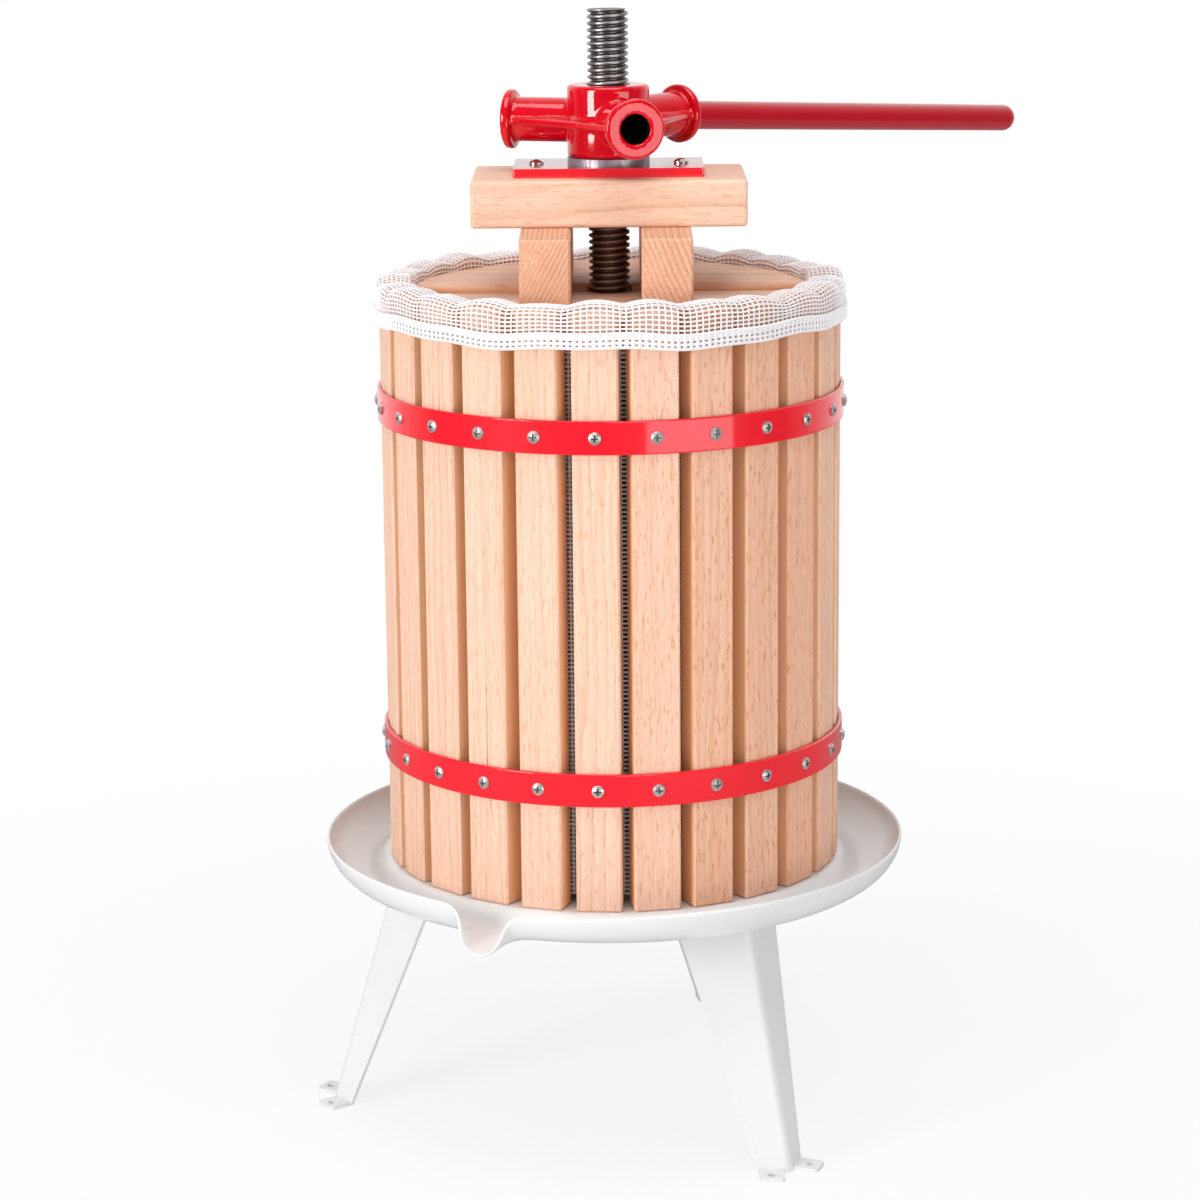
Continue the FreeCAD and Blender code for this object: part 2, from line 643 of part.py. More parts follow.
def make_hub():
    """Cast hub: round body with a running bore, three flanged sockets and the webs between them."""
    body = cylinder(hub_d, hub_foot_z, hub_top_z)
    body = body.makeChamfer(hub_edge, [edge for edge in body.Edges if edge.BoundBox.ZLength < 0.01])
    centre = Vec(0, 0, socket_z)
    tube = Part.makeCylinder(socket_d / 2, socket_reach, centre, OUTWARD)
    flange = Part.makeCylinder(socket_flange_d / 2, socket_flange_t,
                               centre + OUTWARD * (socket_reach - socket_flange_t), OUTWARD)
    flange = flange.makeFillet(hub_edge, [edge for edge in flange.Edges if edge.Closed])
    socket = tube.fuse(flange)
    bore = Part.makeCylinder(socket_bore_d / 2, socket_reach, centre + OUTWARD * socket_floor_r, OUTWARD)
    hub = body.multiFuse([turned(socket, angle) for angle in socket_angles] + [hub_webs()])
    bores = [turned(bore, angle) for angle in socket_angles]
    bores.append(cylinder(spindle_d + 2 * thread_gap, hub_foot_z - 1, hub_top_z + 1))
    return hub.removeSplitter().cut(Part.makeCompound(bores))


def make_lever_bar():
    """Round tube with a domed end, leaning in its socket by the clearance that it has there."""
    droop = math.radians(lever_droop)
    bar_r = lever_d / 2
    play = socket_bore_d / 2 - lip_gap
    mouth_z = socket_z - play + bar_r / math.cos(droop)
    engaged = (2 * play - bar_r * (math.cos(droop) + 1 / math.cos(droop))) / math.tan(droop)
    inner_r = socket_reach - engaged
    length = (lever_end_r - inner_r) / math.cos(droop)
    dome_start = length - bar_r
    bore_r = bar_r - lever_wall
    profile = [Part.makeLine(Vec(bore_r, 0, 0), Vec(bar_r, 0, 0)),
               Part.makeLine(Vec(bar_r, 0, 0), Vec(bar_r, 0, dome_start)),
               Part.Arc(Vec(bar_r, 0, dome_start),
                        Vec(bar_r * math.sqrt(0.5), 0, dome_start + bar_r * math.sqrt(0.5)),
                        Vec(0, 0, length)).toShape(),
               Part.makeLine(Vec(0, 0, length), Vec(0, 0, dome_start)),
               Part.makeLine(Vec(0, 0, dome_start), Vec(bore_r, 0, dome_start)),
               Part.makeLine(Vec(bore_r, 0, dome_start), Vec(bore_r, 0, 0))]
    bar = revolved(profile)
    drain = Part.makeCylinder(lever_drain_d / 2, 2 * bar_r, Vec(0, 0, 0), Vec(0, -1, 0))
    drain.rotate(Vec(0, 0, 0), Z_AXIS, lever_drain_turn)
    bar = bar.cut(drain.translated(Vec(0, 0, dome_start - lever_drain_setback)))
    bar.rotate(Vec(0, 0, 0), Vec(1, 0, 0), 90 + lever_droop)
    bar.translate(Vec(0, -inner_r, mouth_z + engaged * math.tan(droop)))
    return turned(bar, socket_angles[lever_socket])


def make_parts():
    """Every piece of the press by node name."""
    parts = {name: turned(make_leg(), angle) for name, angle in leg_angles.items()}
    parts["leg_bolts"], parts["leg_nuts"] = make_leg_fasteners()
    parts["juice_pan"] = make_juice_pan()
    parts["spindle"] = make_spindle()
    parts["spindle_collar"] = hexagon_nut(collar_flats, collar_h, spindle_d + 2 * screw_gap, seat_z)
    washer_top_z = leg_height
    parts["spindle_washer"] = ring(tail_washer_d, tail_d + 2 * screw_gap, washer_top_z - tail_washer_t,
                                   washer_top_z)
    parts["spindle_nut"] = hexagon_nut(tail_nut_flats, tail_nut_h, tail_d + 2 * screw_gap,
                                       washer_top_z - tail_washer_t - tail_nut_h)
    for number, angle in enumerate(slat_angles(), start=1):
        parts[f"slat_{number:02d}"] = make_slat(angle)
    for name, height in (("lower", lower_hoop_z), ("upper", upper_hoop_z)):
        parts[f"hoop_{name}"] = make_hoop(height)
        parts[f"hoop_screws_{name}"] = make_hoop_screws(height)
    parts["net_bag"] = make_net_bag()
    parts["half_plate_front"] = make_half_plate(-1)
    parts["half_plate_rear"] = make_half_plate(1)
    parts["press_bar_left"] = make_press_bar(-1)
    parts["press_bar_right"] = make_press_bar(1)
    parts["beam"] = make_beam()
    parts["thrust_plate"] = make_thrust_plate()
    parts["thrust_screws"] = make_thrust_screws()
    parts["thrust_washer"] = ring(thrust_washer_d, thrust_washer_hole_d, washer_foot_z,
                                  washer_foot_z + thrust_washer_t)
    parts["hub"] = make_hub()
    parts["lever_bar"] = make_lever_bar()
    return parts


os.makedirs("parts", exist_ok=True)
for node, shape in make_parts().items():
    shape.exportStep(f"parts/{node}.step")
    print(node, len(shape.Solids), "solids", round(shape.Volume), "mm3", shape.isValid())
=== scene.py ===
"""Basket wine press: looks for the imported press, laid out as an add-on and run as a script."""
import json
import math

import bpy
from bpy.props import FloatProperty, FloatVectorProperty, PointerProperty
from mathutils import Matrix, Vector

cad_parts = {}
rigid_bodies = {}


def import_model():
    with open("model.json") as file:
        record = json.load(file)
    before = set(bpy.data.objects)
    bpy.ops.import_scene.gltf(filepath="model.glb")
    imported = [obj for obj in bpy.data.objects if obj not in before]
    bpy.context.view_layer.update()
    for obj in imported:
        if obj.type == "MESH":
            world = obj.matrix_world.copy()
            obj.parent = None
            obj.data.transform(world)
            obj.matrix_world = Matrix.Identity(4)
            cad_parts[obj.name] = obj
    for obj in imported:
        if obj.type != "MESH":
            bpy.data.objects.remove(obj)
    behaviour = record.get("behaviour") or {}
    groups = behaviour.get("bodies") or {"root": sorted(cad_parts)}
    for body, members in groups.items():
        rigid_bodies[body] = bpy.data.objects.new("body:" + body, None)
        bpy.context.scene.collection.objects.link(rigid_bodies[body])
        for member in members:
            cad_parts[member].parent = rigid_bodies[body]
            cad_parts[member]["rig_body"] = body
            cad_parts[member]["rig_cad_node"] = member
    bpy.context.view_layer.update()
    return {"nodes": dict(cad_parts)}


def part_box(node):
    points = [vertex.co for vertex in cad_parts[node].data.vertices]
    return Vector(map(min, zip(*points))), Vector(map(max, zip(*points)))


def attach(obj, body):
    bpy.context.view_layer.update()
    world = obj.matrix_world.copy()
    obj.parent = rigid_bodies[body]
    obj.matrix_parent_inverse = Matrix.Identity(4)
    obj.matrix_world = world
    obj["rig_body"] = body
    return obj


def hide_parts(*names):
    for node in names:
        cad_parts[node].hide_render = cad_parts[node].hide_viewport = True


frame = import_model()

bl_info = {
    "name": "Basket wine press",
    "version": (1, 0, 0),
    "blender": (4, 5, 0),
    "location": "3D View > Sidebar > Wine press",
    "description": "Dresses the packed basket press in beech, enamel, casting, steel and net",
    "category": "Object",
}

NODES = frame["nodes"]
MM = 0.001
SLATS = sorted(name for name in NODES if name.startswith("slat_"))
SLAT_STEP = 2 * math.pi / len(SLATS)
SLAT_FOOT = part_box("slat_01")[0].z
SLAT_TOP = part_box("slat_01")[1].z
SLAT_MIDDLE = (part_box("slat_01")[0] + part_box("slat_01")[1]) / 2
FIRST_SLAT = math.atan2(SLAT_MIDDLE.x, -SLAT_MIDDLE.y)
SPINDLE_LOW, SPINDLE_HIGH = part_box("spindle")
NET_LOW, NET_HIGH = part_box("net_bag")
NET_OUTER_R = NET_HIGH.x - 1.4 * MM
HUB_LOW, HUB_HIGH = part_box("hub")
PAN_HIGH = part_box("juice_pan")[1]


# ---- settings that a user would change
COLOUR = {"subtype": "COLOR", "min": 0, "max": 1}


class PressSizes(bpy.types.PropertyGroup):
    """Sizes of the pieces that are modelled here."""

    thread_pitch: FloatProperty(
        name="Thread pitch", description="Between two crests of the spindle's thread",
        default=4.0 * MM, unit="LENGTH")
    thread_depth: FloatProperty(
        name="Thread depth", description="From the thread's crest to its root",
        default=2.2 * MM, unit="LENGTH")
    pan_sheet: FloatProperty(
        name="Pan sheet", description="Thickness of the pan", default=2.0 * MM, unit="LENGTH")
    lip_turn: FloatProperty(
        name="Lip turn", description="Place of the pouring lip round the pan, from the front",
        default=math.radians(-25.5), subtype="ANGLE")
    lip_reach: FloatProperty(
        name="Lip reach", description="Lip beyond the rim", default=8.5 * MM, unit="LENGTH")
    lip_drop: FloatProperty(
        name="Lip drop", description="Lip's end below the gutter", default=4.5 * MM, unit="LENGTH")
    rim_dip: FloatProperty(
        name="Rim dip", description="Sinking of the rim by the lip", default=3 * MM, unit="LENGTH")
    casting_grain: FloatProperty(
        name="Casting detail", description="Smallest form that the cast hub keeps",
        default=0.95 * MM, unit="LENGTH")
    socket_turn: FloatProperty(
        name="Socket turn", description="Angle of the hub's front socket, from the front",
        default=math.radians(14.7), unit="ROTATION")
    web_reach: FloatProperty(
        name="Web reach", description="How far along each socket the webs run",
        default=60 * MM, unit="LENGTH")
    web_root: FloatProperty(
        name="Web root", description="How far beside a socket's middle line the webs end",
        default=14 * MM, unit="LENGTH")
    web_hollow: FloatProperty(
        name="Web hollow", description="How far a web's side is drawn in, as a share",
        default=0.12, subtype="FACTOR")
    web_sheet: FloatProperty(
        name="Web thickness", description="Thickness of the webs between the sockets",
        default=4.2 * MM, unit="LENGTH")
    plank_width: FloatProperty(
        name="Plank width", description="Middle width of the slats as planed",
        default=27.0 * MM, unit="LENGTH")
    plank_ease: FloatProperty(
        name="Plank ease", description="How far a slat's top is taken down under the net",
        default=2.6 * MM, unit="LENGTH")
    plate_step: FloatProperty(
        name="Plate step", description="Rear half plate above the front one",
        default=3.4 * MM, unit="LENGTH")
    plank_spread: FloatProperty(
        name="Plank spread", description="Most that a slat's width is off the middle one",
        default=1.3 * MM, unit="LENGTH")
    net_thread: FloatProperty(
        name="Net thread", description="Half the width of the net's threads",
        default=0.53 * MM, unit="LENGTH")
    hem_thread: FloatProperty(
        name="Hem thread", description="Half the width of the threads along the hem",
        default=0.88 * MM, unit="LENGTH")
    hem_upright: FloatProperty(
        name="Hem upright", description="Half the width of the threads across the hem",
        default=1.2 * MM, unit="LENGTH")
    net_cell_width: FloatProperty(
        name="Net cell width", description="Between two threads, round the basket",
        default=3.8 * MM, unit="LENGTH")
    net_cell_height: FloatProperty(
        name="Net cell height", description="Between two threads, up the basket",
        default=2.7 * MM, unit="LENGTH")
    hem_height: FloatProperty(
        name="Hem height", description="Height of the dense band along the net's edge",
        default=8.1 * MM, unit="LENGTH")
    net_wave: FloatProperty(
        name="Net wave", description="Rise and fall of the net's edge round the rim",
        default=1.3 * MM, unit="LENGTH")


class PressColours(bpy.types.PropertyGroup):
    """Colours of the press, in linear light."""

    beech: FloatVectorProperty(
        name="Beech", description="Pale ground colour of the planed beech",
        default=(0.88, 0.59, 0.445), **COLOUR)
    beech_pink: FloatVectorProperty(
        name="Pink beech", description="Colour of the redder boards",
        default=(0.81, 0.425, 0.275), **COLOUR)
    beech_ray: FloatVectorProperty(
        name="Beech rays", description="Short red-brown rays in planed beech",
        default=(0.64, 0.27, 0.135), **COLOUR)
    # painted bounce light: the slats' sides take this lighter, warmer colour for the light that
    # bounces between the slats
    beech_side_bounce_light: FloatVectorProperty(
        name="Beech sides", description="Warmer tone of the slats' sawn sides",
        default=(0.86, 0.50, 0.27), **COLOUR)
    beech_edge: FloatVectorProperty(
        name="Beech edge", description="Redder beech on the edges of the half plates",
        default=(0.76, 0.31, 0.125), **COLOUR)
    beech_dark: FloatVectorProperty(
        name="Late wood", description="Dark lines of the late wood and the fine fibres",
        default=(0.50, 0.24, 0.12), **COLOUR)
    hoop_red: FloatVectorProperty(
        name="Hoop red", description="Bright red enamel on the hoops and the thrust plate",
        default=(0.86, 0.007, 0.020), **COLOUR)
    casting_red: FloatVectorProperty(
        name="Casting red", description="Thick red paint on the hub",
        default=(0.70, 0.001, 0.012), **COLOUR)
    lever_red: FloatVectorProperty(
        name="Lever red", description="Darker red paint on the lever bar",
        default=(0.50, 0.001, 0.012), **COLOUR)
    white: FloatVectorProperty(
        name="White enamel", description="White enamel on the pan and the legs",
        default=(0.78, 0.78, 0.78), **COLOUR)
    steel: FloatVectorProperty(
        name="Spindle steel", description="Dark oiled steel of the spindle",
        default=(0.56, 0.54, 0.53), **COLOUR)
    nickel: FloatVectorProperty(
        name="Screw nickel", description="Bright plating on the screws",
        default=(0.86, 0.84, 0.82), **COLOUR)
    net: FloatVectorProperty(
        name="Net white", description="White yarn of the net bag",
        default=(0.87, 0.85, 0.865), **COLOUR)


class PressStage(bpy.types.PropertyGroup):
    """Camera and lamps."""

    camera_distance: FloatProperty(
        name="Camera distance", description="From the spindle's axis to the lens",
        default=2.149, unit="LENGTH")
    camera_height: FloatProperty(
        name="Camera height", description="Lens above the floor", default=0.8165, unit="LENGTH")
    camera_tilt: FloatProperty(
        name="Camera tilt", description="How far the camera looks down",
        default=0.22604, subtype="ANGLE")
    camera_turn: FloatProperty(
        name="Camera turn", description="How far the camera looks to the left",
        default=0.0035865, subtype="ANGLE")
    camera_roll: FloatProperty(
        name="Camera roll", description="How far the camera leans", default=-0.0092461,
        subtype="ANGLE")
    lens: FloatProperty(
        name="Lens", description="Focal length in millimetres", default=105.674, unit="CAMERA")
    sky: FloatProperty(
        name="Sky", description="Strength of the even light from all round", default=0.50)
    sky_front: FloatProperty(
        name="Dark side of the studio", default=0.06, subtype="FACTOR",
        description="What gloss shows of the room in front of the press")
    floor_gloss: FloatProperty(
        name="Floor in gloss", default=0.3, subtype="FACTOR",
        description="How bright the floor shows in glossy paint")
    key_power: FloatProperty(
        name="Key lamp", description="Power of the bright lamp at the left", default=29.5,
        unit="POWER")
    fill_power: FloatProperty(
        name="Fill lamp", description="Power of the large soft lamp at the right", default=17.2,
        unit="POWER")
    top_power: FloatProperty(
        name="Top lamp", description="Power of the soft lamp overhead", default=20.0,
        unit="POWER")


def sizes():
    return bpy.context.scene.press_sizes


def colours():
    return bpy.context.scene.press_colours


# ---- modelling helpers
def pick(obj):
    """Make one object the only selected one."""
    bpy.ops.object.select_all(action="DESELECT")
    obj.select_set(True)
    bpy.context.view_layer.objects.active = obj
    return obj


def bake_modifier(obj, kind, **settings):
    """Add a modifier and apply it."""
    modifier = obj.modifiers.new(kind.lower(), kind)
    for key, value in settings.items():
        setattr(modifier, key, value)
    pick(obj)
    bpy.ops.object.modifier_apply(modifier=modifier.name)
    return obj


def edit_all(obj, operator, **settings):
    """Run one edit-mode operator on the whole of a mesh."""
    pick(obj)
    bpy.ops.object.mode_set(mode="EDIT")
    bpy.ops.mesh.select_all(action="SELECT")
    operator(**settings)
    bpy.ops.object.mode_set(mode="OBJECT")
    return obj


def outwards(obj):
    """Merge a mesh's doubles and point its faces outwards."""
    edit_all(obj, bpy.ops.mesh.remove_doubles, threshold=0.005 * MM)
    return edit_all(obj, bpy.ops.mesh.normals_make_consistent, inside=False)


def draw_line(name, points):
    """A chain of edges through points in the XZ plane, extruded from one vertex."""
    bpy.ops.object.select_all(action="DESELECT")
    bpy.ops.mesh.primitive_plane_add(size=MM, location=(0, 0, 0))
    obj = bpy.context.object
    obj.name = name
    obj.data.name = name
    bpy.ops.object.mode_set(mode="EDIT")
    bpy.ops.mesh.select_mode(type="VERT")
    bpy.ops.mesh.select_all(action="SELECT")
    bpy.ops.mesh.merge(type="CENTER")
    bpy.ops.transform.translate(value=(points[0][0], 0, points[0][1]))
    for (r0, z0), (r1, z1) in zip(points, points[1:]):
        bpy.ops.mesh.extrude_region_move(TRANSFORM_OT_translate={"value": (r1 - r0, 0, z1 - z0)})
    bpy.ops.object.mode_set(mode="OBJECT")
    return obj


def turn_solid(obj, steps, pitch=0.0, rounds=1):
    """Screw an edge chain round the Z axis and point its faces outwards."""
    bake_modifier(
        obj, "SCREW", axis="Z", angle=2 * math.pi, steps=steps, render_steps=steps,
        screw_offset=pitch, iterations=rounds, use_merge_vertices=True, merge_threshold=0.01 * MM)
    return outwards(obj)


def merged_copy(node, name):
    """A copy of a CAD node with its triangles joined up."""
    obj = NODES[node].copy()
    obj.data = NODES[node].data.copy()
    obj.parent = None
    obj.name = name
    obj.data.name = name
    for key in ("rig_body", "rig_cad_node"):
        if key in obj:
            del obj[key]
    bpy.context.scene.collection.objects.link(obj)
    return edit_all(obj, bpy.ops.mesh.remove_doubles, threshold=0.002 * MM)


def join(name, objects):
    """Join objects into the first of them and name it."""
    pick(objects[0])
    for obj in objects:
        obj.select_set(True)
    bpy.ops.object.join()
    joined = bpy.context.object
    joined.name = name
    joined.data.name = name
    return joined


def smooth(obj, degrees=35):
    """Shade smooth, but for edges sharper than some degrees."""
    pick(obj)
    bpy.ops.object.shade_smooth_by_angle(angle=math.radians(degrees))
    return obj


def finished(obj, body, slot, material, *replaced):
    """Hand a new piece to the frame."""
    obj.data.materials.clear()
    obj.data.materials.append(material)
    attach(obj, body)
    if replaced:
        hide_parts(*replaced)
    return obj


def dress(material, *nodes):
    """Give CAD nodes their material."""
    for node in nodes:
        mesh = NODES[node].data
        mesh.materials.clear()
        mesh.materials.append(material)


# ---- shader helpers
def new_material(name):
    """A material and its node tree."""
    material = bpy.data.materials.new(name)
    material.use_nodes = True
    return material, material.node_tree


def add(tree, kind, values=None, **settings):
    """Add a node; a value that is a socket is linked, any other is set."""
    node = tree.nodes.new("ShaderNode" + kind)
    for key, value in settings.items():
        setattr(node, key, value)
    for name, value in (values or {}).items():
        if isinstance(value, bpy.types.NodeSocket):
            tree.links.new(value, node.inputs[name])
        else:
            node.inputs[name].default_value = value
    return node


def calc(operation, first, second=0.0, third=0.0, clamp=False):
    """A sum of up to three values; the first or the second is a socket."""
    tree = (first if isinstance(first, bpy.types.NodeSocket) else second).id_data
    return add(tree, "Math", {0: first, 1: second, 2: third},
               operation=operation, use_clamp=clamp).outputs[0]


def ramp(value, low, high, out_low=0.0, out_high=1.0, kind="LINEAR"):
    """Map a span of values to another, held at both ends."""
    return add(value.id_data, "MapRange", {
        "Value": value, "From Min": low, "From Max": high,
        "To Min": out_low, "To Max": out_high}, interpolation_type=kind).outputs[0]


def blend(amount, first, second):
    """Mix two colours by a socket; sockets 6 and 7 are the colour pair."""
    pair = [colour if isinstance(colour, bpy.types.NodeSocket) else (*colour[:3], 1)
            for colour in (first, second)]
    return add(amount.id_data, "Mix", {0: amount, 6: pair[0], 7: pair[1]},
               data_type="RGBA").outputs[2]


def noise(place, scale, detail=3.0, rough=0.5, stretch=(1, 1, 1)):
    """Noise in metres; stretch gives how much finer it is along each axis."""
    tree = place.id_data
    spread = add(tree, "Mapping", {"Vector": place, "Scale": stretch}).outputs[0]
    return add(tree, "TexNoise", {
        "Vector": spread, "Scale": scale, "Detail": detail, "Roughness": rough}).outputs["Fac"]


def here(tree):
    """The place on the object."""
    return add(tree, "TexCoord").outputs["Object"]


def facing(tree):
    """The way a face looks, on the object's axes."""
    return add(tree, "TexCoord").outputs["Normal"]


def parts_of(vector):
    return add(vector.id_data, "SeparateXYZ", {"Vector": vector}).outputs


def radius_at(east, north):
    """Distance from the spindle's axis."""
    return calc("SQRT", calc("MULTIPLY_ADD", east, east, calc("MULTIPLY", north, north)))


def surface(material, base, rough, relief, relief_height, strength, constants):
    """Link colour, roughness and relief to a material's shader, and set its other sockets."""
    tree = material.node_tree
    shader = tree.nodes["Principled BSDF"]
    bump = add(tree, "Bump", {
        "Height": relief, "Distance": relief_height, "Strength": strength})
    for name, value in (("Base Color", base), ("Roughness", rough), ("Normal", bump.outputs[0])):
        tree.links.new(value, shader.inputs[name])
    for name, value in constants.items():
        shader.inputs[name].default_value = value
    return material


# ---- wood
def beech_grain(material, place, pinkness, ring_tilt, ring_pitch, ring_depth, wobble,
                ray_depth, bounce_light_and_sawn_tone, side):
    """Planed beech whose grain runs along the third axis of place.

    Rings lie in sheets that ring_tilt turns about the grain; fine fibres, broad streaks,
    short darker rays and slow drifts of colour lie over them. Where the side share is 1 the wood
    has the colour side: the sawn tone of the half plates' edges, and painted bounce light on the
    slats' sides.
    """
    paint = colours()
    tree = material.node_tree
    across = add(tree, "Mapping", {
        "Vector": place, "Rotation": (0, 0, ring_tilt)}).outputs[0]
    drift = noise(across, 30, 3, 0.5, (1, 1, 0.12))
    depth = calc("MULTIPLY_ADD", drift, wobble * ring_pitch, parts_of(across)[0])
    turn = calc("FRACT", calc("DIVIDE", depth, ring_pitch))
    late_wood = calc("POWER", turn, 2.5)
    patch = noise(across, 45, 2, 0.5, (1, 1, 0.15))
    late_wood = calc("MULTIPLY", late_wood, ramp(patch, 0.35, 0.65, 0.45, 1.25))
    fibres = noise(across, 900, 2, 0.6, (1, 1, 0.02))
    streaks = noise(across, 230, 3, 0.6, (1, 1, 0.025))
    rays = ramp(noise(across, 640, 2, 0.55, (1.3, 1, 0.20)), 0.56, 0.66)
    cloud = noise(across, 14, 2, 0.5, (1, 1, 0.25))
    tint = calc("ADD", pinkness, calc("MULTIPLY_ADD", cloud, 0.5, -0.25))
    tint = calc("ADD", tint, ramp(streaks, 0.3, 0.7, -0.20, 0.26), clamp=True)
    ground = blend(tint, paint.beech, paint.beech_pink)
    ringed = blend(calc("MULTIPLY", late_wood, ring_depth), ground, paint.beech_dark)
    fibred = blend(ramp(fibres, 0.45, 0.75, 0.0, 0.23), ringed, paint.beech_dark)
    flecked = blend(calc("MULTIPLY", rays, ray_depth), fibred, paint.beech_ray)
    relief = calc("SUBTRACT", fibres, calc("MULTIPLY", rays, 0.8))
    return surface(material, blend(bounce_light_and_sawn_tone, flecked, side), ramp(fibres, 0.2, 0.8, 0.48, 0.66),
                   relief, 0.12 * MM, 0.5, {"Specular IOR Level": 0.32})


def slat_place(tree):
    """Number of the slat at a point, distance from the slat's middle line, radius and height."""
    east, north, height = parts_of(here(tree))
    front = calc("MULTIPLY", north, -1.0)
    angle = calc("SUBTRACT", calc("ARCTAN2", east, front), FIRST_SLAT)
    nearest = calc("ROUND", calc("DIVIDE", angle, SLAT_STEP))
    radius = radius_at(east, north)
    off_middle = calc("SUBTRACT", angle, calc("MULTIPLY", nearest, SLAT_STEP))
    side = calc("MULTIPLY", radius, off_middle)
    return calc("WRAP", nearest, len(SLATS), 0.0), side, radius, height


def facing_sideways(tree, number):
    """How squarely a face of the slat with this number faces its neighbour, 0 to 1."""
    angle = calc("MULTIPLY_ADD", number, SLAT_STEP, FIRST_SLAT)
    beside = add(tree, "CombineXYZ", {
        "X": calc("COSINE", angle), "Y": calc("SINE", angle)}).outputs[0]
    return calc("ABSOLUTE", add(tree, "VectorMath", {
        0: facing(tree), 1: beside}, operation="DOT_PRODUCT").outputs["Value"])


def slat_beech():
    """One beech for all slats: each slat's own place round the basket sets its tint and figure.

    The slats round the reddest one and opposite it are the pinkest, with the most rays.
    """
    luck_seed = 3.37
    reddest = 3.0
    material, tree = new_material("beech_slats")
    number, side, radius, height = slat_place(tree)
    luck = add(tree, "TexWhiteNoise",
               {"W": calc("ADD", number, luck_seed)}, noise_dimensions="1D")
    shift = add(tree, "VectorMath", {
        0: luck.outputs["Color"], "Scale": 3.0}, operation="SCALE").outputs[0]
    local = add(tree, "CombineXYZ", {"X": side, "Y": radius, "Z": height}).outputs[0]
    moved = add(tree, "VectorMath", {0: local, 1: shift}, operation="ADD").outputs[0]
    board = calc("COSINE", calc("MULTIPLY", calc("SUBTRACT", number, reddest), 2 * SLAT_STEP))
    pinkness = calc("ADD", ramp(board, 0.55, 0.85, 0.0, 0.52),
                    ramp(luck.outputs["Value"], 0.0, 1.0, 0.02, 0.30))
    # painted bounce light: faces that look at a neighbouring slat take the lighter, warmer side
    # colour
    sawn = ramp(facing_sideways(tree, number), 0.78, 0.92, 0.0, 0.75)
    return beech_grain(
        material, moved, pinkness, ring_tilt=0.5, ring_pitch=4.6 * MM,
        ring_depth=ramp(luck.outputs["Value"], 0.0, 1.0, 0.36, 0.12), wobble=5.0,
        ray_depth=ramp(board, 0.3, 0.85, 0.40, 0.78), bounce_light_and_sawn_tone=sawn,
        side=colours().beech_side_bounce_light)


def block_beech(name, along, pinkness, ring_tilt, ring_pitch, ring_depth, shift, wobble=5.0,
                ray_depth=0.36, sawn=0.0):
    """Beech for one block; along is the axis of its grain. Sawn is how much its sides redden."""
    material, tree = new_material(name)
    turn = {"X": (0, -math.pi / 2, 0), "Y": (math.pi / 2, 0, 0)}[along]
    place = add(tree, "Mapping", {
        "Vector": here(tree), "Location": shift, "Rotation": turn}).outputs[0]
    level = calc("ABSOLUTE", parts_of(facing(tree))[2])
    return beech_grain(
        material, place, pinkness, ring_tilt, ring_pitch, ring_depth, wobble, ray_depth,
        bounce_light_and_sawn_tone=ramp(level, 0.45, 0.97, sawn, 0.0), side=colours().beech_edge)


# ---- enamel, casting and metal
def enamel(name, colour, rough, mottle, coat=0.5, peel_height=0.05 * MM, level=0.5, haze=0.08,
           coat_ior=1.5, top=1.0):
    """Sprayed or baked paint: faint orange peel, slight drift of shade, clear gloss.

    Faces that look up keep only the share top of the colour, as painted shade.
    """
    material, tree = new_material(name)
    place = here(tree)
    cloud = noise(place, 14, 3, 0.5)
    shade = blend(ramp(cloud, 0.2, 0.8, 0.0, mottle, "SMOOTHSTEP"), colour,
                  [part * 0.75 for part in colour])
    # painted shade: upward faces are darkened to the share top of the colour
    if top < 1:
        up = parts_of(facing(tree))[2]
        shade = blend(ramp(up, 0.8, 0.95), shade, [part * top for part in colour])
    wear = noise(place, 30, 2, 0.4)
    peel = noise(place, 130, 1, 0.4)
    return surface(
        material, shade, ramp(wear, 0.1, 0.9, rough * 0.90, rough * 1.15, "SMOOTHSTEP"),
        peel, peel_height, 0.25, {
            "Specular IOR Level": level, "Coat Weight": coat, "Coat Roughness": haze,
            "Coat IOR": coat_ior})


def casting_paint(name, colour):
    """Thick gloss paint over a rough casting: pits, runs and swellings under a clear skin."""
    pit_shine = (0.85, 0.10, 0.13)
    material, tree = new_material(name)
    place = here(tree)
    swell = noise(place, 95, 3, 0.55)
    grit = noise(place, 520, 2, 0.6)
    pits = ramp(noise(place, 300, 2, 0.5), 0.66, 0.74)
    shade = blend(ramp(swell, 0.3, 0.75, 0.0, 0.35), colour, [part * 0.55 for part in colour])
    pitted = blend(calc("MULTIPLY", pits, 0.30), shade, pit_shine)
    form = calc("SUBTRACT", calc("MULTIPLY_ADD", grit, 0.12, swell), calc("MULTIPLY", pits, 0.35))
    return surface(
        material, pitted, ramp(grit, 0.3, 0.8, 0.29, 0.42), form, 0.7 * MM, 0.5, {
            "Specular IOR Level": 0.04, "Coat Weight": 1.0, "Coat IOR": 1.60,
            "Coat Roughness": 0.03})


def cross_mask(across, along):
    """1 in a cross recess of a screw whose middle is at zero, 0 on the head round it."""
    slot_half, slot_edge = 0.45 * MM, 0.62 * MM
    arm_length, arm_edge = 2.0 * MM, 2.25 * MM
    across = calc("ABSOLUTE", across)
    along = calc("ABSOLUTE", along)
    narrow = ramp(calc("MINIMUM", across, along), slot_half, slot_edge, 1.0, 0.0)
    short = ramp(calc("MAXIMUM", across, along), arm_length, arm_edge, 1.0, 0.0)
    return calc("MULTIPLY", narrow, short)


